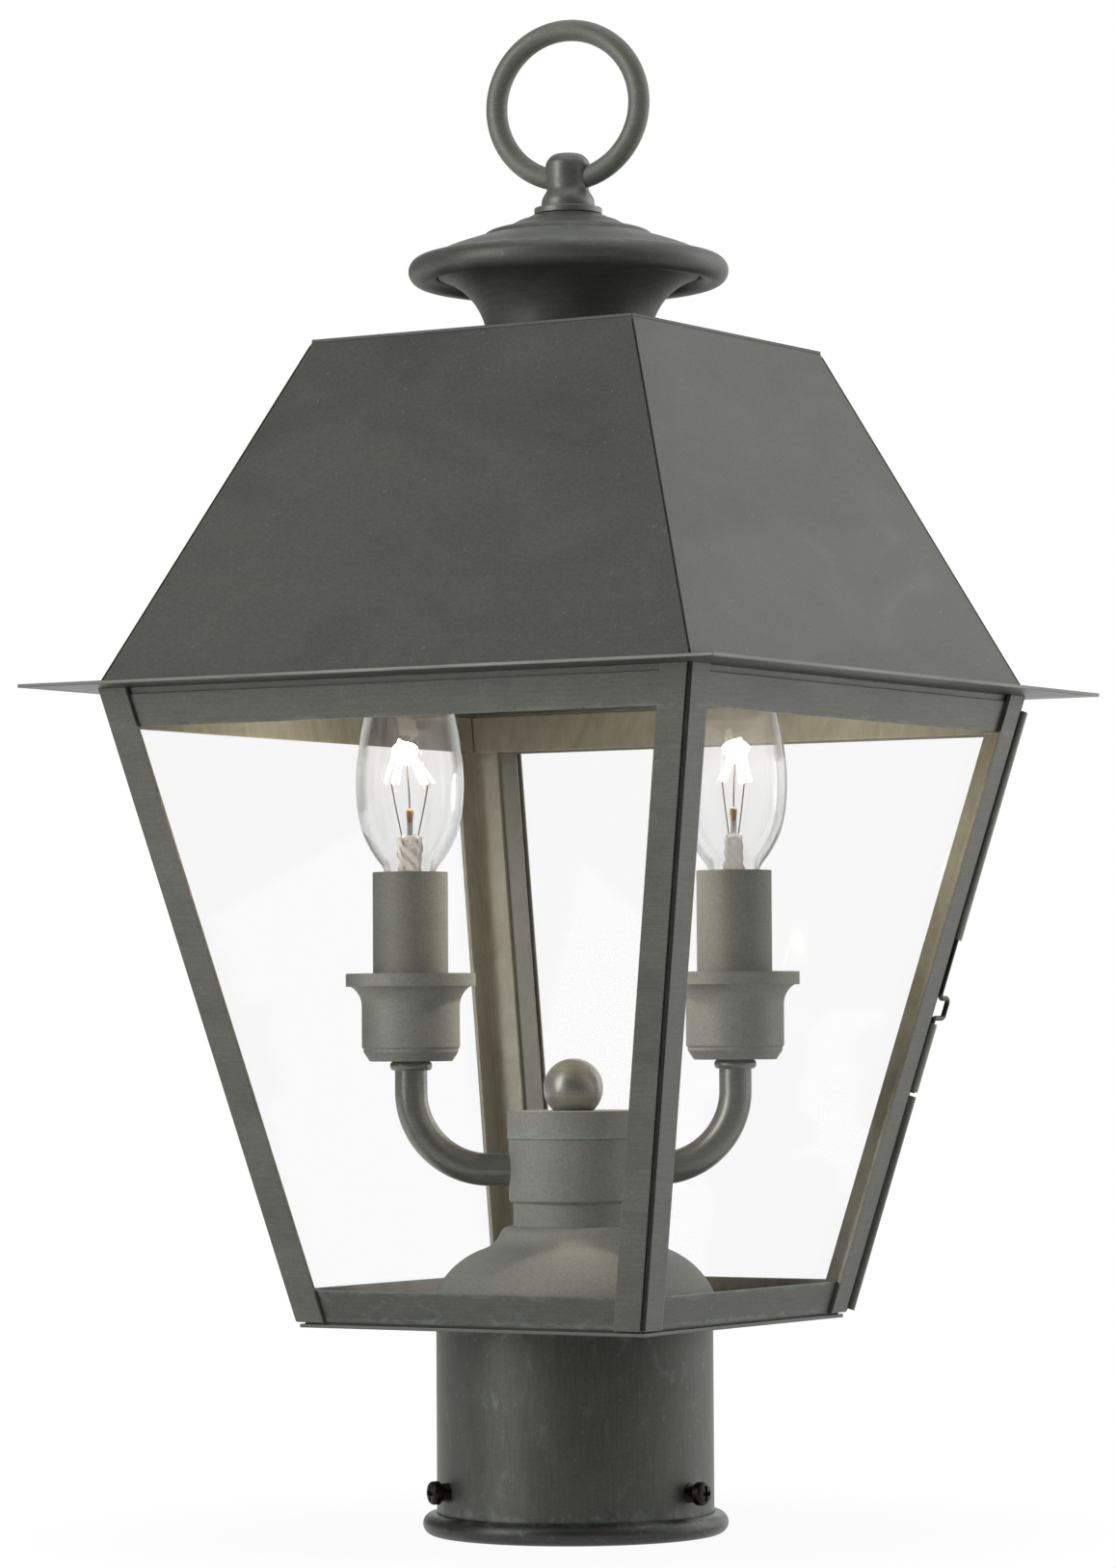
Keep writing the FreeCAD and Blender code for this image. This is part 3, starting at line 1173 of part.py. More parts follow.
barrel = turned("ring_finial_barrel", [
    (STUD_HOLE, WASHER_TOP),
    (FINIAL_FOOT_RADIUS, WASHER_TOP, "-finial_flare_share"),
    ("finial_neck_radius", f"{WASHER_TOP} + finial_flare_height"),
    ("finial_neck_radius", f"{FINIAL_TOP} - finial_edge", "quarter_arc_share"),
    ("finial_neck_radius - finial_edge", FINIAL_TOP),
    ("0", FINIAL_TOP),
    ("0", f"{STUD_TOP} + solder_gap"),
    (STUD_HOLE, f"{STUD_TOP} + solder_gap"),
])


def ring_solid(label, rod_radius):
    ring = bind(doc.addObject("Part::Torus", label), Radius1="ring_radius", Radius2=rod_radius)
    upright = FreeCAD.Placement(V(), FreeCAD.Rotation(V(1, 0, 0), QUARTER_TURN))
    ring.Placement = placed(value("ring_angle"), 0, value(RING_LEVEL)) * upright
    return ring


node(cut("ring_finial", barrel, ring_solid("ring_clearance", "ring_rod_radius + solder_gap")),
     "ring_finial")
node(ring_solid("hanging_ring", "ring_rod_radius"), "hanging_ring")

# Door: a channel frame outside the rear right face, hinged along the rear post and latched along
# the right one. In the slabs its latch side is on the left, before the turn on to its face.

DOOR_TURNS = 2
DOOR_BACK = "-free_gap"
DOOR_FACE = "-(free_gap + door_gauge)"
DOOR_MIDDLE = "(free_gap + door_gauge / 2)"
SIGHT_FOOT = f"({DOOR_FOOT} + door_strip)"
SIGHT_HEAD = f"({DOOR_HEAD} - door_strip)"
LATCH_SIGHT = f"({LATCH_EDGE} + door_strip)"
HINGE_SIGHT = f"({HINGE_EDGE} + door_strip)"
GLASS_HALF = "(glass_gauge / 2)"
SLOT_HALF_DEPTH = f"({GLASS_HALF} + glass_seat_gap)"
BITE = "door_glass_bite"


def door_slab(label, low, high, out, inward, latch_inset, hinge_inset):
    """A plate of the door: depths run out from the posts' face, insets from its two corners."""
    return slab(label, low, high, f"-({out})", f"-({inward})", f"-(HALF - ({latch_inset}))",
                f"HALF - ({hinge_inset})", DOOR_TURNS)


door_blank = door_slab("door_blank", DOOR_FOOT, DOOR_HEAD, "free_gap + door_gauge", "free_gap",
                       LATCH_EDGE, HINGE_EDGE)
door_sight = door_slab("door_sight", SIGHT_FOOT, SIGHT_HEAD,
                       "free_gap + door_gauge + overrun", "free_gap - overrun",
                       LATCH_SIGHT, HINGE_SIGHT)
door_slot = door_slab("door_slot", f"{SIGHT_FOOT} - {BITE} - glass_seat_gap",
                      f"{SIGHT_HEAD} + {BITE} + glass_seat_gap",
                      f"{DOOR_MIDDLE} + {SLOT_HALF_DEPTH}", f"{DOOR_MIDDLE} - {SLOT_HALF_DEPTH}",
                      f"{LATCH_SIGHT} - {BITE} - glass_seat_gap",
                      f"{HINGE_SIGHT} - {BITE} - glass_seat_gap")
node(cut("door_frame", door_blank, door_sight, door_slot), "door_frame")
node(door_slab("door_glass", f"{SIGHT_FOOT} - {BITE}", f"{SIGHT_HEAD} + {BITE}",
               f"{DOOR_MIDDLE} + {GLASS_HALF}", f"{DOOR_MIDDLE} - {GLASS_HALF}",
               f"{LATCH_SIGHT} - {BITE}", f"{HINGE_SIGHT} - {BITE}"), "door_glass")

# Tubes and wires along the posts: each lies on a line that leans out with its post

LATCH_SIDE = 1
HINGE_SIDE = -1


def along(side, inset, level):
    """The point at a height on a line `inset` in from one corner, level with the door's middle."""
    half = value(half_at(level))
    return V(side * (half - value(inset)), half + value(DOOR_MIDDLE), value(level))


def leaning(side):
    """The direction of the right or the rear corner post."""
    return V(side * value(LEAN), value(LEAN), 1)


def tube(label, side, inset, low, high, radius="tube_radius", bore=None):
    """A straight tube along a post, cut square at its ends."""
    start, end = along(side, inset, low), along(side, inset, high)
    place = FreeCAD.Placement(start, FreeCAD.Rotation(UP, leaning(side)))
    length = f"(({high}) - ({low})) * sqrt(1 + 2 * {LEAN}^2)"
    outside = cylinder(label + "_outside", radius, length, place)
    if bore is None:
        return outside
    back = leaning(side).normalize() * -value("overrun")
    inside = cylinder(label + "_inside", bore, f"{length} + 2 * overrun",
                      FreeCAD.Placement(start + back, FreeCAD.Rotation(UP, leaning(side))))
    return outside, inside


WIRE_BORE = "(wire_radius + running_gap)"
WEB_IN = f"({DOOR_MIDDLE} - tube_wall_depth)"
WEB_OUT = f"({DOOR_MIDDLE} + tube_wall_depth)"


def knuckle(label, side, inset, low, high, on_door):
    """A tube with the short web that solders it to the door's edge or to the post."""
    outside, inside = tube(label, side, inset, low, high, bore=WIRE_BORE)
    rise = f"({high}) - tube_radius"
    dip = f"({low}) + tube_radius"
    if on_door:
        edge = LATCH_EDGE if side == LATCH_SIDE else HINGE_EDGE
        near, far = f"-{WEB_OUT}", f"-{WEB_IN}"
        inner, outer = f"({edge})", f"({inset} + {WIRE_BORE})"
    else:
        near, far = f"-({DOOR_MIDDLE} - {WIRE_BORE})", "0"
        inner, outer = f"({inset} + tube_web_reach)", f"({inset})"
    if side == LATCH_SIDE:
        ends = (f"-(HALF - {outer})", f"-(HALF - {inner})")
    else:
        ends = (f"HALF - {inner}", f"HALF - {outer}")
    web = slab(label + "_web", dip, rise, near, far, *ends, DOOR_TURNS)
    return cut(label, fused(label + "_solid", outside, web), inside)


LATCH = (LATCH_SIDE, "latch_inset")
HINGE = (HINGE_SIDE, "hinge_inset")
node(grouped("door_tubes",
             knuckle("latch_guide_tube", *LATCH, GUIDE_FOOT, GUIDE_HEAD, True),
             knuckle("latch_upper_tube", *LATCH, UPPER_TUBE_FOOT, UPPER_TUBE_HEAD, True),
             knuckle("door_knuckle", *HINGE, f"{KNUCKLE_JOINT_LOW} + knuckle_gap",
                     f"{KNUCKLE_JOINT_HIGH} - knuckle_gap", True)), "door_tubes")
node(grouped("post_tubes",
             knuckle("latch_keeper_tube", *LATCH, KEEPER_FOOT, KEEPER_HEAD, False),
             knuckle("lower_knuckle", *HINGE, LOWER_KNUCKLE_FOOT, KNUCKLE_JOINT_LOW, False),
             knuckle("upper_knuckle", *HINGE, KNUCKLE_JOINT_HIGH, UPPER_KNUCKLE_HEAD, False)),
     "post_tubes")
pin_ends = [
    tube(f"hinge_pin_{end}", *HINGE, low, high)
    for end, low, high in (
        ("foot", f"{LOWER_KNUCKLE_FOOT} - free_gap - pin_head_height", f"{LOWER_KNUCKLE_FOOT} - free_gap"),
        ("head", f"{UPPER_KNUCKLE_HEAD} + free_gap", f"{UPPER_KNUCKLE_HEAD} + free_gap + pin_head_height"))
]
node(fused("hinge_pin", *pin_ends,
           tube("hinge_pin_wire", *HINGE, f"{LOWER_KNUCKLE_FOOT} - free_gap - pin_head_height / 2",
                f"{UPPER_KNUCKLE_HEAD} + free_gap + pin_head_height / 2", radius="wire_radius")),
     "hinge_pin")

# Latch wire: a bolt down through the guide tube, a pull loop that stands out from the door, and a
# tail up into the long tube. Lifting it carries the loop up to the long tube's end.


def bent_wire(points, bend, radius):
    """A round wire along straight runs joined by tangent arcs."""
    edges = []
    start = points[0]
    for before, corner, after in zip(points, points[1:], points[2:]):
        back = (before - corner).normalize()
        onward = (after - corner).normalize()
        half_turn = math.acos(max(-1, min(1, back.dot(onward)))) / 2
        leg = bend / math.tan(half_turn)
        middle = (back + onward).normalize()
        apex = corner + middle * (bend / math.sin(half_turn) - bend)
        edges.append(Part.LineSegment(start, corner + back * leg).toShape())
        edges.append(Part.Arc(corner + back * leg, apex, corner + onward * leg).toShape())
        start = corner + onward * leg
    edges.append(Part.LineSegment(start, points[-1]).toShape())
    first = Part.Wire([Part.Circle(points[0], points[1] - points[0], radius).toShape()])
    return Part.Wire(edges).makePipeShell([first], True, True)


latch_wire = doc.addObject("Part::Feature", "latch_wire")
reach = V(0, value("latch_loop_reach"), 0)
levels = (LATCH_WIRE_FOOT, LATCH_LOOP_FOOT, LATCH_LOOP_HEAD, LATCH_WIRE_HEAD)
foot, loop_foot, loop_head, head = [along(*LATCH, level) for level in levels]
wire_route = [foot, loop_foot, loop_foot + reach, loop_head + reach, loop_head, head]
latch_wire.Shape = bent_wire(wire_route, value("latch_bend_radius"), value("wire_radius"))
node(latch_wire, "latch_wire")

# Every object must be sound before any file is written

doc.removeObject(reader.Name)
doc.recompute()
for item in doc.Objects:
    if "Invalid" in item.State or "Error" in item.State:
        raise RuntimeError(f"{item.Label}: {item.State}")
for item in nodes:
    if item.Shape.isNull() or not item.Shape.isValid() or not item.Shape.Solids:
        raise RuntimeError(f"{item.Label}: no sound solid")

os.makedirs("parts", exist_ok=True)
for item in nodes:
    item.Shape.exportStep(os.path.join("parts", item.Label + ".step"))
print(len(nodes), "nodes")
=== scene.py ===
import math

import bpy
import numpy as np
from mathutils import Matrix, Vector


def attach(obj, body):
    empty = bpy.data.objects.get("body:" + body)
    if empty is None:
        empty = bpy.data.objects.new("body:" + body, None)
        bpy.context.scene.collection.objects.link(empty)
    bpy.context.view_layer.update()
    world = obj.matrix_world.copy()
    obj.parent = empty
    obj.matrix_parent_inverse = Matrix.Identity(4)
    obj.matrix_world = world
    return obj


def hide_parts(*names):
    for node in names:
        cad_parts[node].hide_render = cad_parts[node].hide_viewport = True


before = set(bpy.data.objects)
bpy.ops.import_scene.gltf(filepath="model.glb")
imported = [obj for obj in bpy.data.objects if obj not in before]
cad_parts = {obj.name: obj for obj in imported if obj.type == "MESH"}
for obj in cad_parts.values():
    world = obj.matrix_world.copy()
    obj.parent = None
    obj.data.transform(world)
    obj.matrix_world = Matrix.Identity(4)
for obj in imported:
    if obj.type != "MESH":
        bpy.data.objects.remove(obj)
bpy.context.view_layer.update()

# The camera: a long lens 1.6 m from the light and a little below its middle, with the lantern's
# front corner post turned towards it. The angles and places are those that the photo's edges give.

MM = 0.001
CAMERA_AZIMUTH = math.radians(31.7712)
CAMERA_RISE = math.radians(2.4859)
CAMERA_ROLL = math.radians(-0.33299)
CAMERA_PLACE = Vector((-3.968, -1605.30, 149.18)) * MM
LENS_PIXELS = 5677.1
PHOTO_HEIGHT = 1627
SENSOR = 36

scene = bpy.context.scene
scene.view_settings.view_transform = "Standard"
around = Matrix.Rotation(CAMERA_AZIMUTH, 4, "Z")
ahead = Vector((0, math.cos(CAMERA_RISE), math.sin(CAMERA_RISE)))
upwards = Vector((0, -math.sin(CAMERA_RISE), math.cos(CAMERA_RISE)))
across = math.cos(CAMERA_ROLL) * Vector((1, 0, 0)) + math.sin(CAMERA_ROLL) * upwards
above = math.cos(CAMERA_ROLL) * upwards - math.sin(CAMERA_ROLL) * Vector((1, 0, 0))
camera_data = bpy.data.cameras.new("camera")
camera_data.sensor_width = SENSOR
camera_data.lens = LENS_PIXELS * SENSOR / PHOTO_HEIGHT
camera_data.clip_start = 50 * MM
camera = bpy.data.objects.new("camera", camera_data)
scene.collection.objects.link(camera)
facing = Matrix((across, above, -ahead)).transposed().to_4x4()
camera.matrix_world = around @ Matrix.Translation(CAMERA_PLACE) @ facing
scene.camera = camera


# White paper: a sweep that runs behind and beside the light and leaves the room in front of it dim.
# The camera and the glass see it white; the metal sees it fall off towards the room, and less on
# the left, where it ends sooner.

PAPER_GLOW = 0.45
FRONT_GLOW = 0.03
LEFT_SHARE = 0.15
TO_FRONT = around.to_3x3() @ Vector((0, -1, 0))
TO_RIGHT = around.to_3x3() @ Vector((1, 0, 0))
# The cosines of the angle to the front, and to the right, between which the glow changes.
FRONT_BAND = (0.15, 0.95)
LEFT_BAND = (-0.75, 0.1)


def linear(code):
    """An sRGB hex colour as linear red, green, blue and 1."""
    parts = [int(code[i:i + 2], 16) / 255 for i in (1, 3, 5)]
    return tuple(p / 12.92 if p <= 0.04045 else ((p + 0.055) / 1.055) ** 2.4 for p in parts) + (1,)


def add(tree, kind, links=(), **settings):
    """Adds a node. Settings name its properties, or its sockets where they hold a value; links are
    (socket of the new node, socket that feeds it)."""
    node = tree.nodes.new("ShaderNode" + kind)
    for name, setting in settings.items():
        if hasattr(node, name):
            setattr(node, name, setting)
        else:
            node.inputs[name.replace("_", " ")].default_value = setting
    for socket, source in links:
        tree.links.new(node.inputs[socket], source)
    return node


def new_tree(owner):
    """An empty node tree in a material or a world."""
    owner.use_nodes = True
    owner.node_tree.nodes.clear()
    return owner.node_tree


def ramp(tree, source, start, stop, low=0.0, high=1.0, shape="LINEAR"):
    """Low while the source is at start or before it, high from stop on, and straight or smooth in
    between. Start may be the larger of the two."""
    return add(tree, "MapRange", [("Value", source)], interpolation_type=shape, From_Min=start,
               From_Max=stop, To_Min=low, To_Max=high).outputs[0]


def calc(tree, operation, *terms, kind="Math", result=0):
    """One operation on numbers or vectors, each of them a socket or a value; `result` names the
    socket that is given back."""
    node = add(tree, kind, operation=operation)
    for socket, term in zip(node.inputs, terms):
        if isinstance(term, bpy.types.NodeSocket):
            tree.links.new(socket, term)
        else:
            socket.default_value = term
    return node.outputs[result]


def dot(tree, first, second):
    """The dot product of two vectors."""
    return calc(tree, "DOT_PRODUCT", first, second, kind="VectorMath", result="Value")


world = bpy.data.worlds.new("paper_and_room")
scene.world = world
tree = new_tree(world)
path = add(tree, "LightPath").outputs
sky = add(tree, "TexCoord").outputs["Generated"]
front = ramp(tree, dot(tree, sky, TO_FRONT), *FRONT_BAND, shape="SMOOTHSTEP")
left_end = ramp(tree, dot(tree, sky, TO_RIGHT), *LEFT_BAND, LEFT_SHARE, shape="SMOOTHSTEP")
lighting = ramp(tree, front, 0, 1, PAPER_GLOW, FRONT_GLOW)
mirrored = ramp(tree, front, 0, 1, 1.0, FRONT_GLOW)
level = add(tree, "Mix", [(0, path["Is Glossy Ray"]), (2, lighting), (3, mirrored)]).outputs[0]
level = calc(tree, "MULTIPLY", level, left_end)
seen = calc(tree, "MAXIMUM", path["Is Camera Ray"], path["Is Transmission Ray"])
level = add(tree, "Mix", [(0, seen), (2, level)])
level.inputs[3].default_value = 1.0
paper = add(tree, "Background", [("Strength", level.outputs[0])], Color=(1, 1, 1, 1))
add(tree, "OutputWorld", [("Surface", paper.outputs[0])])


# The table under the light: the same paper laid flat. It keeps a faint shadow of the light near its
# foot and turns to plain white further out. A reflection finds its front part in the room's dim.

TABLE_REACH = 3000 * MM
TABLE_PAPER = "#c9c9c7"
SHADOW_SHARE = 0.05
SHADOW_NEAR, SHADOW_FAR = 60 * MM, 190 * MM
ROOM_NEAR, ROOM_FAR = -60 * MM, 260 * MM
ROOM_LEVEL = 0.1


def new_material(name):
    """A material and its empty node tree."""
    material = bpy.data.materials.new(name)
    return material, new_tree(material)


table_mesh = bpy.data.meshes.new("table")
corners = [(x * TABLE_REACH, y * TABLE_REACH, 0) for x, y in ((-1, -1), (1, -1), (1, 1), (-1, 1))]
table_mesh.from_pydata(corners, [], [(0, 1, 2, 3)])
table = bpy.data.objects.new("table", table_mesh)
scene.collection.objects.link(table)
white_paper, tree = new_material("white_paper")
path = add(tree, "LightPath").outputs
place = add(tree, "TexCoord").outputs["Object"]
mirrored = ramp(tree, dot(tree, place, TO_FRONT), ROOM_NEAR, ROOM_FAR, 1.0, ROOM_LEVEL,
                shape="SMOOTHSTEP")
mirrored = calc(tree, "MULTIPLY", mirrored, path["Is Glossy Ray"])
seen = calc(tree, "MAXIMUM", path["Is Camera Ray"], path["Is Transmission Ray"])
seen = calc(tree, "MAXIMUM", seen, mirrored)
distance = calc(tree, "LENGTH", place, kind="VectorMath", result="Value")
far_out = ramp(tree, distance, SHADOW_NEAR, SHADOW_FAR, 1 - SHADOW_SHARE, 1.0, shape="SMOOTHSTEP")
cover = calc(tree, "MULTIPLY", seen, far_out)
matt = add(tree, "BsdfDiffuse", Color=linear(TABLE_PAPER))
glow = add(tree, "Emission", Color=(1, 1, 1, 1), Strength=1.0)
both = add(tree, "MixShader", [(0, cover), (1, matt.outputs[0]), (2, glow.outputs[0])])
add(tree, "OutputMaterial", [("Surface", both.outputs[0])])
table_mesh.materials.append(white_paper)


# Three soft boxes: a tall one to the left and a little in front, one far round to the right and
# behind, and a weak one overhead.

LIGHT_MIDDLE = Vector((0, 0, 230)) * MM


def softbox(name, place, width, height, power):
    """A rectangular soft light, turned to the lantern's middle. Its place is in the camera's own
    directions, x right, y away and z up, in mm from the foot's centre."""
    data = bpy.data.lights.new(name, "AREA")
    data.shape = "RECTANGLE"
    data.size = width * MM
    data.size_y = height * MM
    data.energy = power
    lamp = bpy.data.objects.new(name, data)
    scene.collection.objects.link(lamp)
    lamp.location = around.to_3x3() @ Vector(place) * MM
    lamp.rotation_euler = (LIGHT_MIDDLE - lamp.location).to_track_quat("-Z", "Y").to_euler()


softbox("left_box", (-1330, -760, 600), 500, 1500, 12.5)
softbox("right_box", (1500, 700, 700), 900, 1500, 6.5)
softbox("top_box", (0, 200, 1700), 1400, 1400, 2)


# Post sleeve: brass sheet rolled to a tube that slips over the post, seamed and soldered, then
# darkened in a bath to a matt grey-green skin. Handling has rubbed faint upright scratches in it,
# and verdigris has gathered at its joints with the bead and the plate.

# Scales that draw marks out: the smaller along an axis, the longer the marks.
LEVEL = (0.05, 0.05, 1)
UPRIGHT = (1, 1, 0.05)
EVEN = (1, 1, 1)
RUN_DOWN = (1, 1, 0.35)
CLOUD_SIZE, PATCH_SIZE, STREAK_SIZE = 45, 12, 7
FLECK_SIZE, GRAIN_SIZE, MARK_SIZE = 1.7, 0.8, 0.5
# Nearly all values of a noise lie in this band.
NOISE_BAND = (0.3, 0.7)
GRAIN_SHARE, MARK_SHARE, FLECK_SHARE = 0.11, 0.10, 0.2
POOL_LIFT, POOL_SHARE = 0.17, 0.5
BEND_RADIUS = 0.4
PALE_FLECK = "#a9aca2"
RUBBED_CUT = "#6e7068"


def noise(tree, place, size, **settings):
    """A cloudy noise from 0 to 1, with lumps of about `size` mm."""
    lumps = add(tree, "TexNoise", [("Vector", place)], Scale=1 / (size * MM), **settings)
    return lumps.outputs["Fac"]


def stretched(tree, place, scale):
    """The place, scaled along each axis."""
    return add(tree, "Mapping", [("Vector", place)], Scale=scale).outputs[0]


def blend(tree, share, low, high):
    """A share of the high colour over the low one; each is a socket or a hex colour."""
    node = add(tree, "Mix", [(0, share)], data_type="RGBA")
    for socket, colour in ((6, low), (7, high)):
        if isinstance(colour, str):
            node.inputs[socket].default_value = linear(colour)
        else:
            tree.links.new(node.inputs[socket], colour)
    return node.outputs[2]


def bevel_turn(tree, radius):
    """The normal rounded over `radius` mm, and its cosine to the true one, under 1 near an edge."""
    rounded = add(tree, "Bevel", samples=6, Radius=radius * MM).outputs[0]
    return rounded, dot(tree, rounded, add(tree, "NewGeometry").outputs["Normal"])


def surface(tree, links, **settings):
    """The material's shader, joined to its output."""
    shader = add(tree, "BsdfPrincipled", links, **settings)
    add(tree, "OutputMaterial", [("Surface", shader.outputs[0])])


def weathered(name, skin, cloud, draw=(1, 1, 2.2), brush=LEVEL, rough=0.5, metal=0.45,
              verdigris="#86968d", green_share=0.10, pools=(), cut_half=None, edge_lift=0.5,
              inner=None):
    """Darkened brass, on the object's own coordinates. Two tones of the skin follow clouds of
    45 mm, drawn out by `draw`; grain of 0.8 mm and marks of 0.5 mm, drawn out by `brush`, multiply
    them. Pale specks lie where a 1.7 mm noise tops 0.73. Verdigris share = a 12 mm noise, plus a
    lift near each pool (height, spread), taken from 0.57 to 0.76. Faces that look towards the
    lantern's axis take the two `inner` tones, streaked downwards: painted light where these are
    paler than the skin, painted shade where they are darker. Bends are multiplied by up to
    1 + `edge_lift`, and the cut edge of a sheet that ends at `cut_half` is rubbed."""
    material, tree = new_material(name)
    place = add(tree, "TexCoord").outputs["Object"]
    axes = add(tree, "SeparateXYZ", [("Vector", place)]).outputs
    drawn = stretched(tree, place, draw)
    clouds = noise(tree, drawn, CLOUD_SIZE, Detail=6.0, Roughness=0.62, Distortion=0.7)
    colour = blend(tree, ramp(tree, clouds, 0.36, 0.66), skin, cloud)
    grain = noise(tree, place, GRAIN_SIZE, Detail=3.0, Roughness=0.65)
    marks = noise(tree, stretched(tree, place, brush), MARK_SIZE, Detail=2.0, Roughness=0.6)
    uneven = calc(tree, "MULTIPLY",
                  ramp(tree, grain, *NOISE_BAND, 1 - GRAIN_SHARE, 1 + GRAIN_SHARE),
                  ramp(tree, marks, *NOISE_BAND, 1 - MARK_SHARE, 1 + MARK_SHARE))
    colour = calc(tree, "MULTIPLY", colour, uneven, kind="VectorMath")
    fleck = noise(tree, place, FLECK_SIZE, Detail=1.0)
    colour = blend(tree, ramp(tree, fleck, 0.73, 0.79, 0.0, FLECK_SHARE), colour, PALE_FLECK)

    wet = noise(tree, drawn, PATCH_SIZE, Detail=8.0, Roughness=0.72, Distortion=1.4)
    for height, spread in pools:
        off = calc(tree, "ABSOLUTE", calc(tree, "SUBTRACT", axes["Z"], height * MM))
        wet = calc(tree, "ADD", wet, ramp(tree, off, 0.0, spread * MM, POOL_LIFT, 0.0))
    green = ramp(tree, wet, 0.57, 0.76, 0.0, POOL_SHARE if pools else green_share)
    colour = blend(tree, green, colour, verdigris)

    # Painted light and shade: faces that look inwards take the inner tones, paler for the bulbs'
    # glow on the frame, darker for the shade inside the door's channel.
    if inner:
        aside = calc(tree, "MULTIPLY", place, (1, 1, 0), kind="VectorMath")
        outward = dot(tree, aside, add(tree, "TexCoord").outputs["Normal"])
        streaks = noise(tree, stretched(tree, place, RUN_DOWN), STREAK_SIZE, Detail=7.0,
                        Roughness=0.7, Distortion=1.2)
        streaked = blend(tree, ramp(tree, streaks, 0.35, 0.68), *inner)
        colour = blend(tree, ramp(tree, outward, -20 * MM, -45 * MM, 0.0, 0.6), colour, streaked)

    edge, turn = bevel_turn(tree, BEND_RADIUS)
    rubbed = ramp(tree, turn, 0.995, 0.80, 1.0, 1.0 + edge_lift)
    colour = calc(tree, "MULTIPLY", colour, rubbed, kind="VectorMath")
    if cut_half:
        widest = calc(tree, "MAXIMUM", *(calc(tree, "ABSOLUTE", axes[axis]) for axis in "XY"))
        cut = ramp(tree, widest, (cut_half - 0.12) * MM, (cut_half - 0.04) * MM, 0.0, 0.75)
        colour = blend(tree, cut, colour, RUBBED_CUT)
    gloss = ramp(tree, clouds, *NOISE_BAND, rough - 0.06, rough + 0.09)
    bump = add(tree, "Bump", [("Height", calc(tree, "ADD", grain, marks)), ("Normal", edge)],
               Strength=0.22, Distance=0.05 * MM)
    surface(tree, [("Base Color", colour), ("Roughness", gloss), ("Normal", bump.outputs[0])],
            Metallic=metal)
    return material


def dress(material, *nodes):
    """Gives CAD nodes their finish."""
    for name in nodes:
        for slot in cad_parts[name].material_slots:
            slot.material = material


rolled_sleeve_brass = weathered("darkened_rolled_brass", "#51524b", "#616259", draw=(1.2, 1.2, 0.8),
                                brush=UPRIGHT, rough=0.45, metal=0.5, pools=[(6.5, 4), (61, 3)])
dress(rolled_sleeve_brass, "post_sleeve")


# Foot bead: a half-round brass ring, pushed on to the sleeve's foot and soldered. Its underside
# stands on the table, and its skin is painted the darkest of the light, a painted shade for its
# place low down by the table.

bead_brass = weathered("bead_painted_shade_brass", "#42433d", "#4c4d46", rough=0.38, metal=0.7,
                       pools=[(6.4, 1.6)])
dress(bead_brass, "foot_bead")


# Clamp screws: three blackened steel pan heads with a cross recess, M5 in size, in holes tapped
# through the sleeve. About 3 mm of thread shows between sleeve and head, and wear has bared the
# crests and the rim of the recess.

SCREW_ANGLES = {"right": -4.2, "rear": 115.8, "left": 235.8}
SCREW_LEVEL = 13.4
SCREW_TIP = 39.0
TIP_LENGTH, TIP_DROP = 1.0, 0.5
SCREW_RADIUS = 2.7
THREAD_PITCH, THREAD_DEPTH, THREAD_STEPS = 0.8, 0.42, 14
HEAD_FOOT, HEAD_TOP = 43.5, 46.3
HEAD_RADIUS = 3.4
HEAD_SHOULDER, HEAD_CROWN = 1.1, 0.2
RECESS_ARM, RECESS_HALF, RECESS_DEPTH = 2.3, 0.5, 1.3
RECESS_WALL, RECESS_END = 0.12, 0.5

# A phosphate black is dull and brownish; worn crests and rims shine through it as bare steel.
blackened_steel, tree = new_material("blackened_steel")
place = add(tree, "TexCoord").outputs["Object"]
mottle = noise(tree, place, 1.2, Detail=5.0, Roughness=0.7)
black = blend(tree, ramp(tree, mottle, 0.35, 0.7), "#1d1a17", "#38322b")
edge, turn = bevel_turn(tree, 0.18)
skin = blend(tree, ramp(tree, turn, 0.98, 0.75, 0.0, 0.6), black, "#8a857c")
gloss = ramp(tree, mottle, 0, 1, 0.28, 0.5)
surface(tree, [("Base Color", skin), ("Roughness", gloss), ("Normal", edge)], Metallic=0.85)


def new_piece(name, points, faces, material, sharp=None):
    """A mesh object from points in mm and faces, with its faces turned outwards: where the volume
    that they enclose comes out negative, every face is reversed."""
    points = np.asarray(points, float) * MM
    triangles = np.array([(face[0], face[i], face[i + 1]) for face in faces
                          for i in range(1, len(face) - 1)])
    a, b, c = (points[triangles[:, i]] for i in range(3))
    if np.einsum("ij,ij->i", a, np.cross(b, c)).sum() < 0:
        faces = [face[::-1] for face in faces]
    mesh = bpy.data.meshes.new(name)
    mesh.from_pydata(points.tolist(), [], faces)
    mesh.shade_smooth()
    if sharp:
        mesh.set_sharp_from_angle(angle=math.radians(sharp))
    mesh.materials.append(material)
    piece = bpy.data.objects.new(name, mesh)
    scene.collection.objects.link(piece)
    return piece


def grid_faces(rows, columns, offset=0, wrap_rows=False):
    """The quads of a grid of points numbered row by row; each row closes on itself, and the last
    row joins the first where wrap_rows says so."""
    i = np.arange(rows if wrap_rows else rows - 1)[:, None]
    j = np.arange(columns)[None, :]
    down, over = (i + 1) % rows, (j + 1) % columns
    quads = np.stack(np.broadcast_arrays(i * columns + j, i * columns + over, down * columns + over,
                                         down * columns + j), -1)
    return (quads.reshape(-1, 4) + offset).tolist()


def fan_faces(columns, first, pole, reverse=False):
    """The triangles from a pole to the row of points that starts at first."""
    j = np.arange(columns)
    over = (j + 1) % columns
    pair = (first + j, first + over) if reverse else (first + over, first + j)
    return np.stack([np.full(columns, pole), *pair], 1).tolist()


angle = np.linspace(0, 2 * np.pi, 96, endpoint=False)
shank = np.arange(SCREW_TIP, HEAD_FOOT, THREAD_PITCH / THREAD_STEPS)
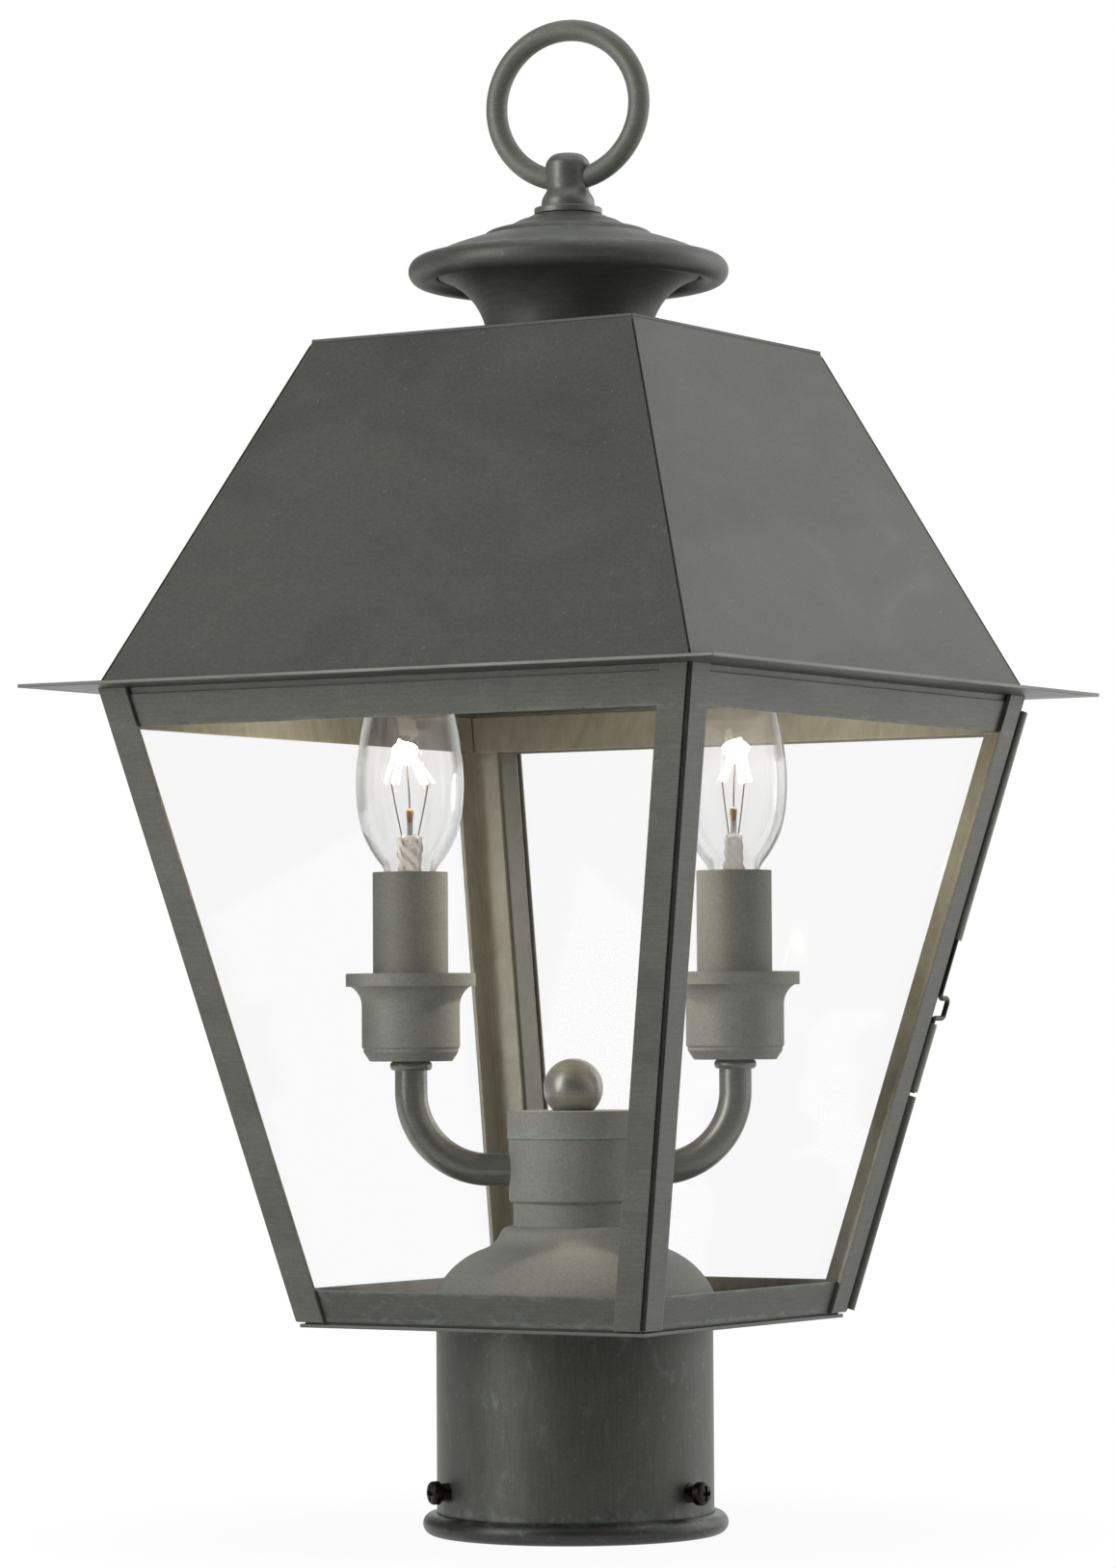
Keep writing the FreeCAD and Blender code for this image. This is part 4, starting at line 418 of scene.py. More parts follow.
# Thread: radius = crest - depth * (1 + cos(2 pi * along / pitch - angle)) / 2, tapered at the tip.
phase = 2 * np.pi * shank[:, None] / THREAD_PITCH - angle
taper = np.clip((shank - SCREW_TIP) / TIP_LENGTH, 0, 1)[:, None]
thread_radius = (SCREW_RADIUS - TIP_DROP * (1 - taper)) - THREAD_DEPTH * (1 + np.cos(phase)) / 2
# Head: straight side, a rounded shoulder, and a crown that falls off by the square of the radius.
shoulder_foot = HEAD_TOP - HEAD_CROWN - HEAD_SHOULDER
side = np.linspace(HEAD_FOOT, shoulder_foot, 4)
bend = np.linspace(0, np.pi / 2, 7)[1:]
crown = np.linspace(HEAD_RADIUS - HEAD_SHOULDER, 0.06, 34)
head_radius = np.concatenate([np.full(len(side), HEAD_RADIUS),
                              HEAD_RADIUS - HEAD_SHOULDER * (1 - np.cos(bend)), crown[1:]])
head_along = np.concatenate([side, shoulder_foot + HEAD_SHOULDER * np.sin(bend),
                             HEAD_TOP - HEAD_CROWN * (crown[1:] / crown[0]) ** 2])
along = np.concatenate([shank, head_along])[:, None] * np.ones_like(angle)
radius = np.vstack([thread_radius, head_radius[:, None] * np.ones_like(angle)])
aside, up = radius * np.cos(angle), radius * np.sin(angle)


def recess_arm(a, b):
    """One arm of the cross: 1 within half its width and its length, sloping to 0 at its walls."""
    return (np.clip((RECESS_HALF - np.abs(a)) / RECESS_WALL + 1, 0, 1)
            * np.clip((RECESS_ARM - np.abs(b)) / RECESS_END, 0, 1))


# The recess is sunk into the crown, and leaves the rows before it alone.
on_crown = np.arange(len(along))[:, None] >= len(shank) + len(side) + len(bend)
along = along - on_crown * RECESS_DEPTH * np.maximum(recess_arm(aside, up), recess_arm(up, aside))

for side_name, degrees in SCREW_ANGLES.items():
    heading = math.radians(degrees)
    out = np.array([math.cos(heading), math.sin(heading), 0])
    level_way = np.array([-math.sin(heading), math.cos(heading), 0])
    points = (along[..., None] * out + aside[..., None] * level_way
              + (up[..., None] + SCREW_LEVEL) * np.array([0, 0, 1])).reshape(-1, 3)
    rows, columns = along.shape
    low, high = points[:columns].mean(0), points[-columns:].mean(0)
    faces = grid_faces(rows, columns)
    faces += fan_faces(columns, 0, len(points)) + fan_faces(columns, (rows - 1) * columns,
                                                            len(points) + 1, reverse=True)
    screw = new_piece(f"{side_name}_pan_head_screw", np.vstack([points, low, high]), faces,
                      blackened_steel, sharp=50)
    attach(screw, f"{side_name}_screw")
    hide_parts(f"clamp_screw_{side_name}")


# Bottom plate, corner posts, rails and cleats: folded brass sheet of about 1 mm, soldered together
# and darkened after that. The sheared edge of the plate has been rubbed a little paler, flux has
# left pale bloom along the rails' edges, and the inner faces are painted a pale warm olive, in
# streaks that run downwards: a painted light for the bulbs' glow on them.

PLATE_HALF = 57.7
# Painted light: the inner faces' pale warm tones, for the bulbs' glow falling on them.
PAINTED_BULB_LIGHT_OLIVE = ("#8f8a77", "#acaa9b")

plate_brass = weathered("darkened_plate_brass", "#5f6059", "#6c6d65", metal=0.4,
                        cut_half=PLATE_HALF)
dress(plate_brass, "bottom_plate")

frame_brass = weathered("darkened_folded_brass", "#6a6b64", "#787971", metal=0.4, rough=0.48,
                        pools=[(234.6, 1.4)], inner=PAINTED_BULB_LIGHT_OLIVE)
# Bottom rails: the same brass painted darker, a painted shade for their place low down.
low_rail_brass = weathered("low_rail_painted_shade_brass", "#5d5e57", "#6a6b64", metal=0.4, rough=0.48,
                           pools=[(72.0, 1.6), (64.0, 1.2)], inner=PAINTED_BULB_LIGHT_OLIVE)
dress(frame_brass, "corner_post_front", "corner_post_right", "corner_post_rear", "corner_post_left",
      "top_rails", "glass_cleats", "post_tubes")
dress(low_rail_brass, "bottom_rails")


# Post seams: each corner post is two strips, joined along the corner in a shallow rebate. The
# solder in it took the darkening bath deepest, and its near-black line is also a painted shadow
# for the shade in the rebate.

POST_FOOT, POST_HEAD = 62.9, 245.8
POST_FOOT_HALF = 58.8
POST_LEAN = 40.5 / 182.9
SEAM_WIDTH, SEAM_DEPTH = 1.4, 0.7
SOLDER_GAUGE = 0.28
SOLDER_INSET = 0.12
SOLDER_GAP = 0.2

# Soft solder goes near black in the bath, and stays lumpy and dull. Its black is also a painted
# shadow in the post rebates and along the roof's hips.
seam_solder, tree = new_material("blackened_solder_painted_shadow")
lumps = noise(tree, add(tree, "TexCoord").outputs["Object"], 3, Detail=5.0, Roughness=0.7)
dark = blend(tree, ramp(tree, lumps, 0.35, 0.72), "#161612", "#35342b")
bump = add(tree, "Bump", [("Height", lumps)], Strength=0.4, Distance=0.15 * MM)
surface(tree, [("Base Color", dark), ("Normal", bump.outputs[0])], Metallic=0.3, Roughness=0.6)

# The seam of the front post, in the rebate's floor: corners in from the post's half width, where
# half width = that at the foot + lean * height. Quarter turns carry it to the other posts.
heights = np.linspace(POST_FOOT + SOLDER_GAP, POST_HEAD - SOLDER_GAP, 40)[:, None]
half = POST_FOOT_HALF + POST_LEAN * (heights - POST_FOOT)
solder_foot = SEAM_DEPTH - SOLDER_GAUGE
inwards = np.array([[SEAM_WIDTH, SEAM_DEPTH], [SEAM_WIDTH, solder_foot],
                    [SOLDER_INSET, solder_foot], [SOLDER_INSET, SEAM_DEPTH]])
strip = np.stack([half - inwards[:, 0], -(half - inwards[:, 1]), heights * np.ones(4)], -1)
count = strip.size // 3
points, faces = [], []
for quarter in range(4):
    turn = np.array(Matrix.Rotation(quarter * math.pi / 2, 3, "Z"))
    start = quarter * count
    points.append(strip.reshape(-1, 3) @ turn.T)
    faces += grid_faces(len(heights), 4, start)
    faces += [[start + 3, start + 2, start + 1, start]]
    faces += [[start + count - 4 + k for k in range(4)]]
seams = new_piece("post_seam_solder_painted_shadow", np.vstack(points), faces, seam_solder, sharp=40)
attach(seams, "lantern")


# Base dome, hub and ball: spun and turned brass on the lamp pipe, with a paler, more powdery skin
# than the sheet; only the ball is smooth. Verdigris sits under the lid's rim and in the neck's two
# joints.

POWDER = {"brush": EVEN, "rough": 0.64, "metal": 0.15, "edge_lift": 0.25}

dome_brass = weathered("powdery_turned_brass", "#a3a49c", "#b0b1a9", draw=(1.3, 1.3, 1.8),
                       verdigris="#a9b9b1", green_share=0.22, **POWDER)
lid_brass = weathered("verdigris_rimmed_brass", "#a3a49c", "#b0b1a9", verdigris="#bcd6cc",
                      pools=[(115.2, 2.8)], **POWDER)
neck_brass = weathered("verdigris_jointed_brass", "#9fa098", "#abaca4", verdigris="#b8ccc3",
                       pools=[(96.4, 1.4), (89.5, 1.6)], **POWDER)
ball_brass = weathered("smooth_turned_brass", "#9c9d94", "#a9aaa1", rough=0.36, metal=0.55,
                       edge_lift=0.25)
dress(dome_brass, "base_dome", "hub_body")
dress(ball_brass, "ball_finial")
dress(lid_brass, "hub_lid")
dress(neck_brass, "hub_neck")


# Lamp pipe, its locknut, the bridge under the dome and its rivets, and the cap's strap, stud and
# nuts: plain zinc-plated steel, hidden once the light is together.

def two_toned(name, tones, size, pattern, gloss=None, kind="TexNoise", **settings):
    """A finish whose colour runs between two tones with a texture of `size` mm, shaped by the
    settings in `pattern`. Where `gloss` gives a range, the roughness runs over it likewise."""
    material, tree = new_material(name)
    place = add(tree, "TexCoord").outputs["Object"]
    share = add(tree, kind, [("Vector", place)], Scale=1 / (size * MM), **pattern).outputs[0]
    links = [("Base Color", blend(tree, share, *tones))]
    if gloss:
        links.append(("Roughness", ramp(tree, share, 0, 1, *gloss)))
    surface(tree, links, **settings)
    return material


# Zinc plating is bright, spangled in cells of 2.5 mm and a little blue.
zinc_steel = two_toned("zinc_plated_steel", ("#9b9da0", "#83868a"), 2.5, {}, (0.3, 0.45),
                       "TexVoronoi", Metallic=1.0)
dress(zinc_steel, "stem_bridge", "bridge_rivets", "centre_stem", "stem_locknut", "cap_strap",
      "cap_stud", "cap_nuts")


# Lamp arms and candle cups: bent brass tube, cast cups and plain tube sleeves. The arms are smooth
# and a little shiny, the cups and sleeves powdery, and a grey-green ring lies where each cup's foot
# meets its arm.

cup_brass = weathered("powdery_cup_brass", "#a0a199", "#acada4", brush=EVEN, rough=0.6, metal=0.2,
                      pools=[(139.9, 1.8)], edge_lift=0.25)
arm_brass = weathered("smooth_tube_brass", "#8a8b82", "#979890", rough=0.34, metal=0.5,
                      green_share=0.2, edge_lift=0.2)
candle_brass = weathered("powdery_sleeve_brass", "#999a91", "#a5a69d", brush=EVEN, rough=0.62,
                         metal=0.15, green_share=0.15, edge_lift=0.3)
dress(cup_brass, "candle_cup_left", "candle_cup_right")
dress(arm_brass, "lamp_arm_left", "lamp_arm_right")
dress(candle_brass, "candle_sleeve_left", "candle_sleeve_right")


# Arm collars: a rounded bead under each cup, 12.4 mm across, turned from brass rod and threaded on
# to the arm's end. It has the arm's smooth skin.

LAMP_TURN = math.radians(31.8)
LAMP_REACH = 47.5
LAMPS = {side: (reach * math.cos(LAMP_TURN), reach * math.sin(LAMP_TURN))
         for side, reach in (("right", LAMP_REACH), ("left", -LAMP_REACH))}
COLLAR_FOOT, COLLAR_HEAD = 135.1, 137.8
COLLAR_BORE, COLLAR_RADIUS = 4.81, 6.2
COLLAR_BULGE = 1.1


def spun(name, line, material, centre=(0, 0), closed=True, segments=96, sharp=None):
    """A piece of revolution: point (radius, height) of the line is carried to (x, y) = centre +
    radius * (cos angle, sin angle) at that height. A closed line is the edge of a wall; an open one
    starts and ends on the axis, where its points merge into one."""
    line = np.asarray(line, float)
    angle = np.linspace(0, 2 * np.pi, segments, endpoint=False)
    body = line if closed else line[1:-1]
    ring = np.stack([np.outer(body[:, 0], np.cos(angle)), np.outer(body[:, 0], np.sin(angle)),
                     np.repeat(body[:, 1:2], segments, 1)], -1).reshape(-1, 3)
    faces = grid_faces(len(body), segments, wrap_rows=closed)
    if not closed:
        last = len(ring)
        ring = np.vstack([ring, [0, 0, line[0, 1]], [0, 0, line[-1, 1]]])
        faces += fan_faces(segments, 0, last)
        faces += fan_faces(segments, last - segments, last + 1, reverse=True)
    return new_piece(name, ring + [centre[0], centre[1], 0], faces, material, sharp)


# Section: a half round of the collar's own height on a short straight shoulder.
bulge = np.linspace(-np.pi / 2, np.pi / 2, 15)
half_high = (COLLAR_HEAD - COLLAR_FOOT) / 2
collar_line = np.vstack([
    [COLLAR_BORE, COLLAR_FOOT],
    np.stack([COLLAR_RADIUS - COLLAR_BULGE * (1 - np.cos(bulge)),
              COLLAR_FOOT + half_high * (1 + np.sin(bulge))], 1),
    [COLLAR_BORE, COLLAR_HEAD]])
for side, centre in LAMPS.items():
    collar = spun(f"rounded_collar_{side}", collar_line, arm_brass, centre, sharp=40)
    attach(collar, "lantern")
    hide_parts("arm_collars")


# Lamp sockets: black phenolic moulded bodies inside the candle sleeves, with a thin threaded brass
# shell each, and supply wires in cream insulation through the arms and the pipe.

# Moulded phenolic is a brown-black with flow marks and a soft shine.
moulded_phenolic = two_toned("moulded_phenolic", ("#1a1917", "#26231f"), 6,
                             {"Detail": 4.0, "Distortion": 1.0}, (0.35, 0.5), IOR=1.55)
dress(moulded_phenolic, "lamp_socket_left", "lamp_socket_right")

# Bare brass is yellow and bright, with duller brown patches of tarnish.
bare_brass = two_toned("bare_rolled_brass", ("#b39a5e", "#8d7642"), 4,
                       {"Detail": 5.0, "Roughness": 0.65}, (0.22, 0.4), Metallic=1.0)
dress(bare_brass, "socket_shells", "bulb_base_left", "bulb_base_right")

# Extruded insulation is a plain cream plastic with a fine grain.
wire_insulation = two_toned("extruded_insulation", ("#d9d3c3", "#cbc4b2"), 1.0, {"Detail": 3.0},
                            (0.4, 0.55), IOR=1.5)
dress(wire_insulation, "lead_wires")


# Bulbs: two clear torpedo lamps of 32 mm, blown from soda glass about 0.8 mm thick and drawn to a
# rounded tip, each on a candelabra base hidden in its candle sleeve.

BULB_WALL = 0.8
BULB_FOOT = 189.5
RIM_BAND, RIM_LEAST = (0.42, 0.8), 0.08
HAZE_LEAST, HAZE_MOST = 0.0016, 0.0026
# (radius, height above the foot)
BULB_LINE = [(7.0, 0.0), (7.1, 2.4), (8.1, 5.1), (10.55, 8.5), (12.5, 11.9), (13.96, 15.3),
             (14.84, 18.7), (15.46, 22.1), (15.9, 28.9), (15.6, 35.7), (15.1, 39.1), (14.67, 42.5),
             (14.1, 45.9), (12.9, 51.5), (11.2, 57.6), (9.0, 63.6), (6.6, 69.2), (4.4, 73.6),
             (2.6, 76.4), (1.2, 77.6), (0.0, 77.95)]

# Thin blown glass shows what is behind it straight, and bends and mirrors light only towards its
# rim, where a grey tint darkens it: a painted reflection of the dark room and posts. A trace of
# haze on it catches the filament's light. Light rays pass it without bending, so that the
# filament lights the lantern.
soda_glass, tree = new_material("blown_soda_glass")
clear = add(tree, "BsdfTransparent", Color=(0.985, 0.985, 0.985, 1))
bending = add(tree, "BsdfPrincipled", Base_Color=linear("#b6bab9"), Roughness=0.0, IOR=1.46,
              Transmission_Weight=1.0)
facing = add(tree, "LayerWeight", Blend=0.5).outputs["Facing"]
rim = ramp(tree, facing, *RIM_BAND, RIM_LEAST, 1.0)
body = add(tree, "MixShader", [(0, rim), (1, clear.outputs[0]), (2, bending.outputs[0])])
haze = add(tree, "BsdfTranslucent", Color=(1, 1, 1, 1))
film = noise(tree, add(tree, "TexCoord").outputs["Object"], 5, Detail=4.0)
haziness = ramp(tree, film, *NOISE_BAND, HAZE_LEAST, HAZE_MOST)
hazy = add(tree, "MixShader", [(0, haziness), (1, body.outputs[0]), (2, haze.outputs[0])])
through = add(tree, "BsdfTransparent", Color=(1, 1, 1, 1))
path = add(tree, "LightPath").outputs
light_ray = calc(tree, "MAXIMUM", path["Is Shadow Ray"], path["Is Diffuse Ray"])
both = add(tree, "MixShader", [(0, light_ray), (1, hazy.outputs[0]), (2, through.outputs[0])])
add(tree, "OutputMaterial", [("Surface", both.outputs[0])])


def smooth_line(points, steps=6):
    """A smooth line through points. Between two of them it is the cubic whose slope at each end is
    half the step from the point before to the point after (a Catmull-Rom line)."""
    p = np.array(points, float)
    p = np.vstack([2 * p[0] - p[1], p, 2 * p[-1] - p[-2]])
    a, b, c, d = (p[i:len(p) - 3 + i, None] for i in range(4))
    t = np.linspace(0, 1, steps, endpoint=False)[None, :, None]
    line = 0.5 * (2 * b + (c - a) * t + (2 * a - 5 * b + 4 * c - d) * t ** 2
                  + (3 * b - a - 3 * c + d) * t ** 3)
    return np.vstack([line.reshape(-1, p.shape[1]), p[-2]])


def inner_line(line, wall):
    """A line moved inwards by the wall, square to its own direction at each point."""
    slope = np.gradient(line, axis=0)
    slope /= np.linalg.norm(slope, axis=1)[:, None]
    moved = line + wall * np.stack([-slope[:, 1], slope[:, 0]], 1)
    moved[:, 0] = np.maximum(moved[:, 0], 0)
    return moved


for side, centre in LAMPS.items():
    outside = smooth_line(BULB_LINE, 4) + [0, BULB_FOOT]
    inside = inner_line(outside, BULB_WALL)[::-1]
    inside[0, 0] = 0
    blown = spun(f"blown_bulb_{side}", np.vstack([inside, outside]), soda_glass, centre,
                 closed=False, segments=128)
    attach(blown, "lantern")
    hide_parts(f"bulb_glass_{side}")


# Glass mounts: in each bulb a flared glass stem is pressed flat on to the two lead wires. A glass
# arbor stands on the press and holds the middle support; its end has browned in the heat.

# (height above the bulb's foot, half width, half thickness)
PRESS_ROWS = [(0.0, 6.2, 6.2), (0.6, 5.6, 5.6), (1.6, 4.0, 4.0), (3.0, 3.2, 3.1), (4.6, 3.3, 2.8),
              (6.2, 2.9, 2.3), (7.6, 3.2, 2.1), (9.4, 3.5, 1.9), (11.6, 3.4, 1.7), (13.2, 3.5, 1.6),
              (14.2, 2.9, 1.2), (14.6, 2.0, 0.7)]
MOUNT_TURN = {"left": LAMP_TURN + math.pi, "right": LAMP_TURN + math.radians(51)}
PRESS_SIDES = 48
PRESS_SCATTER = 0.22
FOLD_COUNT, FOLD_DEPTH, FOLD_TWIST = 5, 0.13, 1.6
FOLD_FOOT, FOLD_GROWTH = 2.5, 2.0
ARBOR_RADIUS = 0.85
ARBOR_FOOT, ARBOR_BROWN, ARBOR_TOP = 14.2, 18.4, 22.2

# Melted and pinched glass has seeds and folds in it, which break up what is seen through it. Their
# small faces scatter part of the filament's light, some brightly and some not at all.
pressed_glass, tree = new_material("pressed_lead_glass")
folds = noise(tree, add(tree, "TexCoord").outputs["Object"], 1.3, Detail=3.0, Distortion=2.0)
bump = add(tree, "Bump", [("Height", folds)], Strength=1.0, Distance=2.2 * MM)
glass = add(tree, "BsdfPrincipled", [("Normal", bump.outputs[0])], Roughness=0.02, IOR=1.56,
            Transmission_Weight=1.0)
scatter = add(tree, "BsdfDiffuse", [("Normal", bump.outputs[0])], Color=(1, 1, 1, 1))
glass = add(tree, "MixShader", [(1, glass.outputs[0]), (2, scatter.outputs[0])],
            Fac=PRESS_SCATTER)
through = add(tree, "BsdfTransparent", Color=(1, 1, 1, 1))
both = add(tree, "MixShader", [(0, add(tree, "LightPath").outputs["Is Shadow Ray"]),
                               (1, glass.outputs[0]), (2, through.outputs[0])])
add(tree, "OutputMaterial", [("Surface", both.outputs[0])])

# Glass that was close to the filament for years turns a clouded tea brown.
browned_glass = two_toned("browned_lead_glass", ("#c89a72", "#8e6243"), 1.5, {"Detail": 4.0},
                          Roughness=0.15, IOR=1.56, Transmission_Weight=0.55)


def mount_frame(side):
    """The middle of a bulb's foot, and the directions along and across its press."""
    wide = np.array([math.cos(MOUNT_TURN[side]), math.sin(MOUNT_TURN[side]), 0])
    return np.array([*LAMPS[side], BULB_FOOT]), wide, np.array([-wide[1], wide[0], 0])


for side, centre in LAMPS.items():
    middle, wide, thick = mount_frame(side)
    rows = smooth_line(PRESS_ROWS, 6)
    angle = np.linspace(0, 2 * np.pi, PRESS_SIDES, endpoint=False)[None, :, None]
    # Ring point = centre + half width * cos angle along the press + half thickness * sin angle
    # across it, at the row's height. Both halves swell and shrink in folds that turn as they rise.
    level = rows[:, None, :1]
    fold = 1 + (FOLD_DEPTH * np.sin(FOLD_COUNT * angle + FOLD_TWIST * level)
                * np.clip((level - FOLD_FOOT) / FOLD_GROWTH, 0, 1))
    press = (middle + level * [0, 0, 1] + fold * rows[:, None, 1:2] * np.cos(angle) * wide
             + fold * rows[:, None, 2:3] * np.sin(angle) * thick).reshape(-1, 3)
    last = len(press)
    press = np.vstack([press, middle + [0, 0, rows[0, 0]], middle + [0, 0, rows[-1, 0]]])
    faces = grid_faces(len(rows), PRESS_SIDES) + fan_faces(PRESS_SIDES, 0, last)
    faces += fan_faces(PRESS_SIDES, last - PRESS_SIDES, last + 1, reverse=True)
    stem = new_piece(f"pressed_stem_{side}", press, faces, pressed_glass)
    rod = np.array([(0, ARBOR_FOOT), (ARBOR_RADIUS, ARBOR_FOOT), (ARBOR_RADIUS, ARBOR_BROWN),
                    (0, ARBOR_BROWN)]) + [0, BULB_FOOT]
    arbor = spun(f"glass_arbor_{side}", rod, pressed_glass, centre, closed=False, segments=32,
                 sharp=40)
    tip = np.array([(0, ARBOR_BROWN), (ARBOR_RADIUS, ARBOR_BROWN),
                    (1.3 * ARBOR_RADIUS, ARBOR_TOP - 1), (1.2 * ARBOR_RADIUS, ARBOR_TOP - 0.3),
                    (0.7 * ARBOR_RADIUS, ARBOR_TOP), (0, ARBOR_TOP)]) + [0, BULB_FOOT]
    browned = spun(f"browned_arbor_end_{side}", tip, browned_glass, centre, closed=False,
                   segments=32, sharp=40)
    for piece in (stem, arbor, browned):
        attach(piece, "lantern")
        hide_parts("bulb_mounts")


# Filaments: a coiled tungsten wire in each bulb, hung between two nickel lead wires that splay from
# the press and over a hooked middle support. It burns white hot.

LEAD_RADIUS = 0.22
COIL_RADIUS, COIL_WIRE, COIL_PITCH, COIL_STEPS = 0.36, 0.13, 0.55, 14
# Places in a bulb: (out along the press, height above the bulb's foot).
LEAD_LINE = [(1.6, 8.0), (2.4, 14.2), (4.1, 22.5), (5.2, 28.6), (5.4, 29.4), (5.2, 29.9),
             (4.8, 29.6)]
HOOK_LINE = [(0.2, 18.0), (0.1, 24.0), (0.6, 32.0), (1.6, 41.2), (2.3, 42.2), (2.6, 41.6)]
COIL_FOOT, COIL_TOP = (5.0, 29.6), (2.1, 42.0)
GLOW_PLACE = (0.9, 38.6)
GLOW_COLOUR, GLOW_POWER, GLOW_RADIUS = (1.0, 0.89, 0.74), 0.31, 2.6
HOT_FROM, HOT_TO = 218, 222
HOT_STRENGTH = 40.0

# Drawn nickel is a warm grey wire, dulled in patches by heat.
dull_nickel = two_toned("drawn_nickel_wire", ("#8a847a", "#635c53"), 1.5, {"Detail": 4.0},
                        Roughness=0.4, Metallic=1.0)

# The middle of the wire runs hottest; the turns next to the cold leads are more yellow.
glowing_tungsten, tree = new_material("glowing_tungsten")
height = add(tree, "SeparateXYZ", [("Vector", add(tree, "TexCoord").outputs["Object"])])
hue = add(tree, "Mix", [(0, ramp(tree, height.outputs["Z"], HOT_FROM * MM, HOT_TO * MM))],
          data_type="RGBA")
hue.inputs[6].default_value = (1.0, 0.62, 0.30, 1)
hue.inputs[7].default_value = (1.0, 0.84, 0.60, 1)
glow = add(tree, "Emission", [("Color", hue.outputs[2])], Strength=HOT_STRENGTH)
add(tree, "OutputMaterial", [("Surface", glow.outputs[0])])


def along_route(route, radius, sides, flat):
    """The rings of a round wire: ring point = route + radius * (cos angle * level + sin angle *
    over), where over = direction x flat and level = over x direction, for a direction `flat` that
    the route never follows."""
    heading = np.gradient(route, axis=0)
    heading /= np.linalg.norm(heading, axis=1)[:, None]
    over = np.cross(heading, flat)
    over /= np.linalg.norm(over, axis=1)[:, None]
    level = np.cross(over, heading)
    angle = np.linspace(0, 2 * np.pi, sides, endpoint=False)[None, :, None]
    around_route = np.cos(angle) * level[:, None] + np.sin(angle) * over[:, None]
    return route[:, None] + radius * around_route


def wire_piece(name, routes, radius, material, flat, sides=10):
    """One or more round wires as one piece, each closed by a point at its ends."""
    points, faces, start = [], [], 0
    for route in routes:
        route = np.asarray(route, float)
        count = len(route) * sides
        points += [along_route(route, radius, sides, np.asarray(flat, float)).reshape(-1, 3),
                   route[:1], route[-1:]]
        faces += grid_faces(len(route), sides, start)
        faces += fan_faces(sides, start, start + count)
        faces += fan_faces(sides, start + count - sides, start + count + 1, reverse=True)
        start += count + 2
    return new_piece(name, np.vstack(points), faces, material)


for side in LAMPS:
    middle, wide, thick = mount_frame(side)
    # Carries places in a bulb on to the press's own plane.
    press_plane = np.array([wide, [0, 0, 1]])
    wires = [smooth_line(np.array(line) * (s, 1) @ press_plane + middle)
             for s, line in ((-1, LEAD_LINE), (1, LEAD_LINE), (1, HOOK_LINE))]
    supports = wire_piece(f"filament_supports_{side}", wires, LEAD_RADIUS, dull_nickel, thick, 8)
    halves = []
    for s in (-1, 1):
        # Half the filament: a helix round the line from a lead's hook up to the middle support.
        start, stop = np.array([(s * COIL_FOOT[0], COIL_FOOT[1]), COIL_TOP]) @ press_plane + middle
        length = np.linalg.norm(stop - start)
        over = np.cross((stop - start) / length, thick)
        t = np.linspace(0, 1, int(length / COIL_PITCH * COIL_STEPS))[:, None]
        spin = 2 * np.pi * t * length / COIL_PITCH
        halves.append(start + t * (stop - start)
                      + COIL_RADIUS * (np.cos(spin) * thick + np.sin(spin) * over))
    coil = wire_piece(f"filament_coil_{side}", halves, COIL_WIRE, glowing_tungsten, (0, 0, 1), 6)
    for piece in (supports, coil):
        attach(piece, "lantern")
        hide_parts("bulb_filaments")
    light = bpy.data.lights.new(f"filament_light_{side}", "POINT")
    light.color = GLOW_COLOUR
    light.energy = GLOW_POWER
    light.shadow_soft_size = GLOW_RADIUS * MM
    lamp = bpy.data.objects.new(f"filament_light_{side}", light)
    scene.collection.objects.link(lamp)
    lamp.location = Vector(np.array(GLOW_PLACE) @ press_plane + middle) * MM
    # The coil itself gives the highlights.
    lamp.visible_glossy = False


# Glass panes: clear 2 mm window glass, cut to the lantern's taper and kept against the rails. Each
# face mirrors a little of the studio and passes the rest straight on.

GLASS_IOR = 1.45
GLASS_PASS = 0.985
MIRROR_SHARE = 0.1

# Clean window glass is nearly unseen: it mirrors a little and darkens less. A ray that leaves the
# sheet isn't bent here, so the far face takes the inverse index and mirrors as little as the near.
pane_glass, tree = new_material("clear_window_glass")
clear = add(tree, "BsdfTransparent", Color=(GLASS_PASS, GLASS_PASS, GLASS_PASS, 1))
mirror = add(tree, "BsdfGlossy", Color=(1, 1, 1, 1), Roughness=0.02)
backing = add(tree, "NewGeometry").outputs["Backfacing"]
index = ramp(tree, backing, 0, 1, GLASS_IOR, 1 / GLASS_IOR)
amount = calc(tree, "MULTIPLY", add(tree, "Fresnel", [("IOR", index)]).outputs[0], MIRROR_SHARE)
both = add(tree, "MixShader", [(0, amount), (1, clear.outputs[0]), (2, mirror.outputs[0])])
add(tree, "OutputMaterial", [("Surface", both.outputs[0])])
dress(pane_glass, "glass_pane_front_left", "glass_pane_front_right", "glass_pane_rear_left",
      "door_glass")


# Eave plate and roof: a flat brass square with a window cut in it, and a hipped roof folded from
# sheet with soldered corners. The plate's sheared edge has been rubbed a little paler all round;
# the bath ran down the roof and left faint bands across it.

EAVE_HALF = 115.45

eave_brass = weathered("darkened_eave_brass", "#51524b", "#5e5f57", metal=0.5, rough=0.38,
                       cut_half=EAVE_HALF)
dress(eave_brass, "eave_plate")

roof_brass = weathered("darkened_roof_brass", "#575852", "#65665f", draw=(0.8, 0.8, 1.5),
                       brush=(0.4, 0.4, 1), rough=0.52, metal=0.42, green_share=0.06,
                       edge_lift=-0.5)
dress(roof_brass, "roof_shell", "roof_top_plate")


# Roof seams: the roof's sheets meet along the hips, where the solder between their edges has turned
# near black and stands a hair proud of the bend. Its black is also a painted shadow for the gap
# where the faces meet.

ROOF_FOOT, ROOF_FOOT_HALF = 246.8, 98.9
ROOF_HEAD, ROOF_HEAD_HALF = 347.2, 54.45
HIP_RADIUS = 0.36
HIP_INSET = 0.2

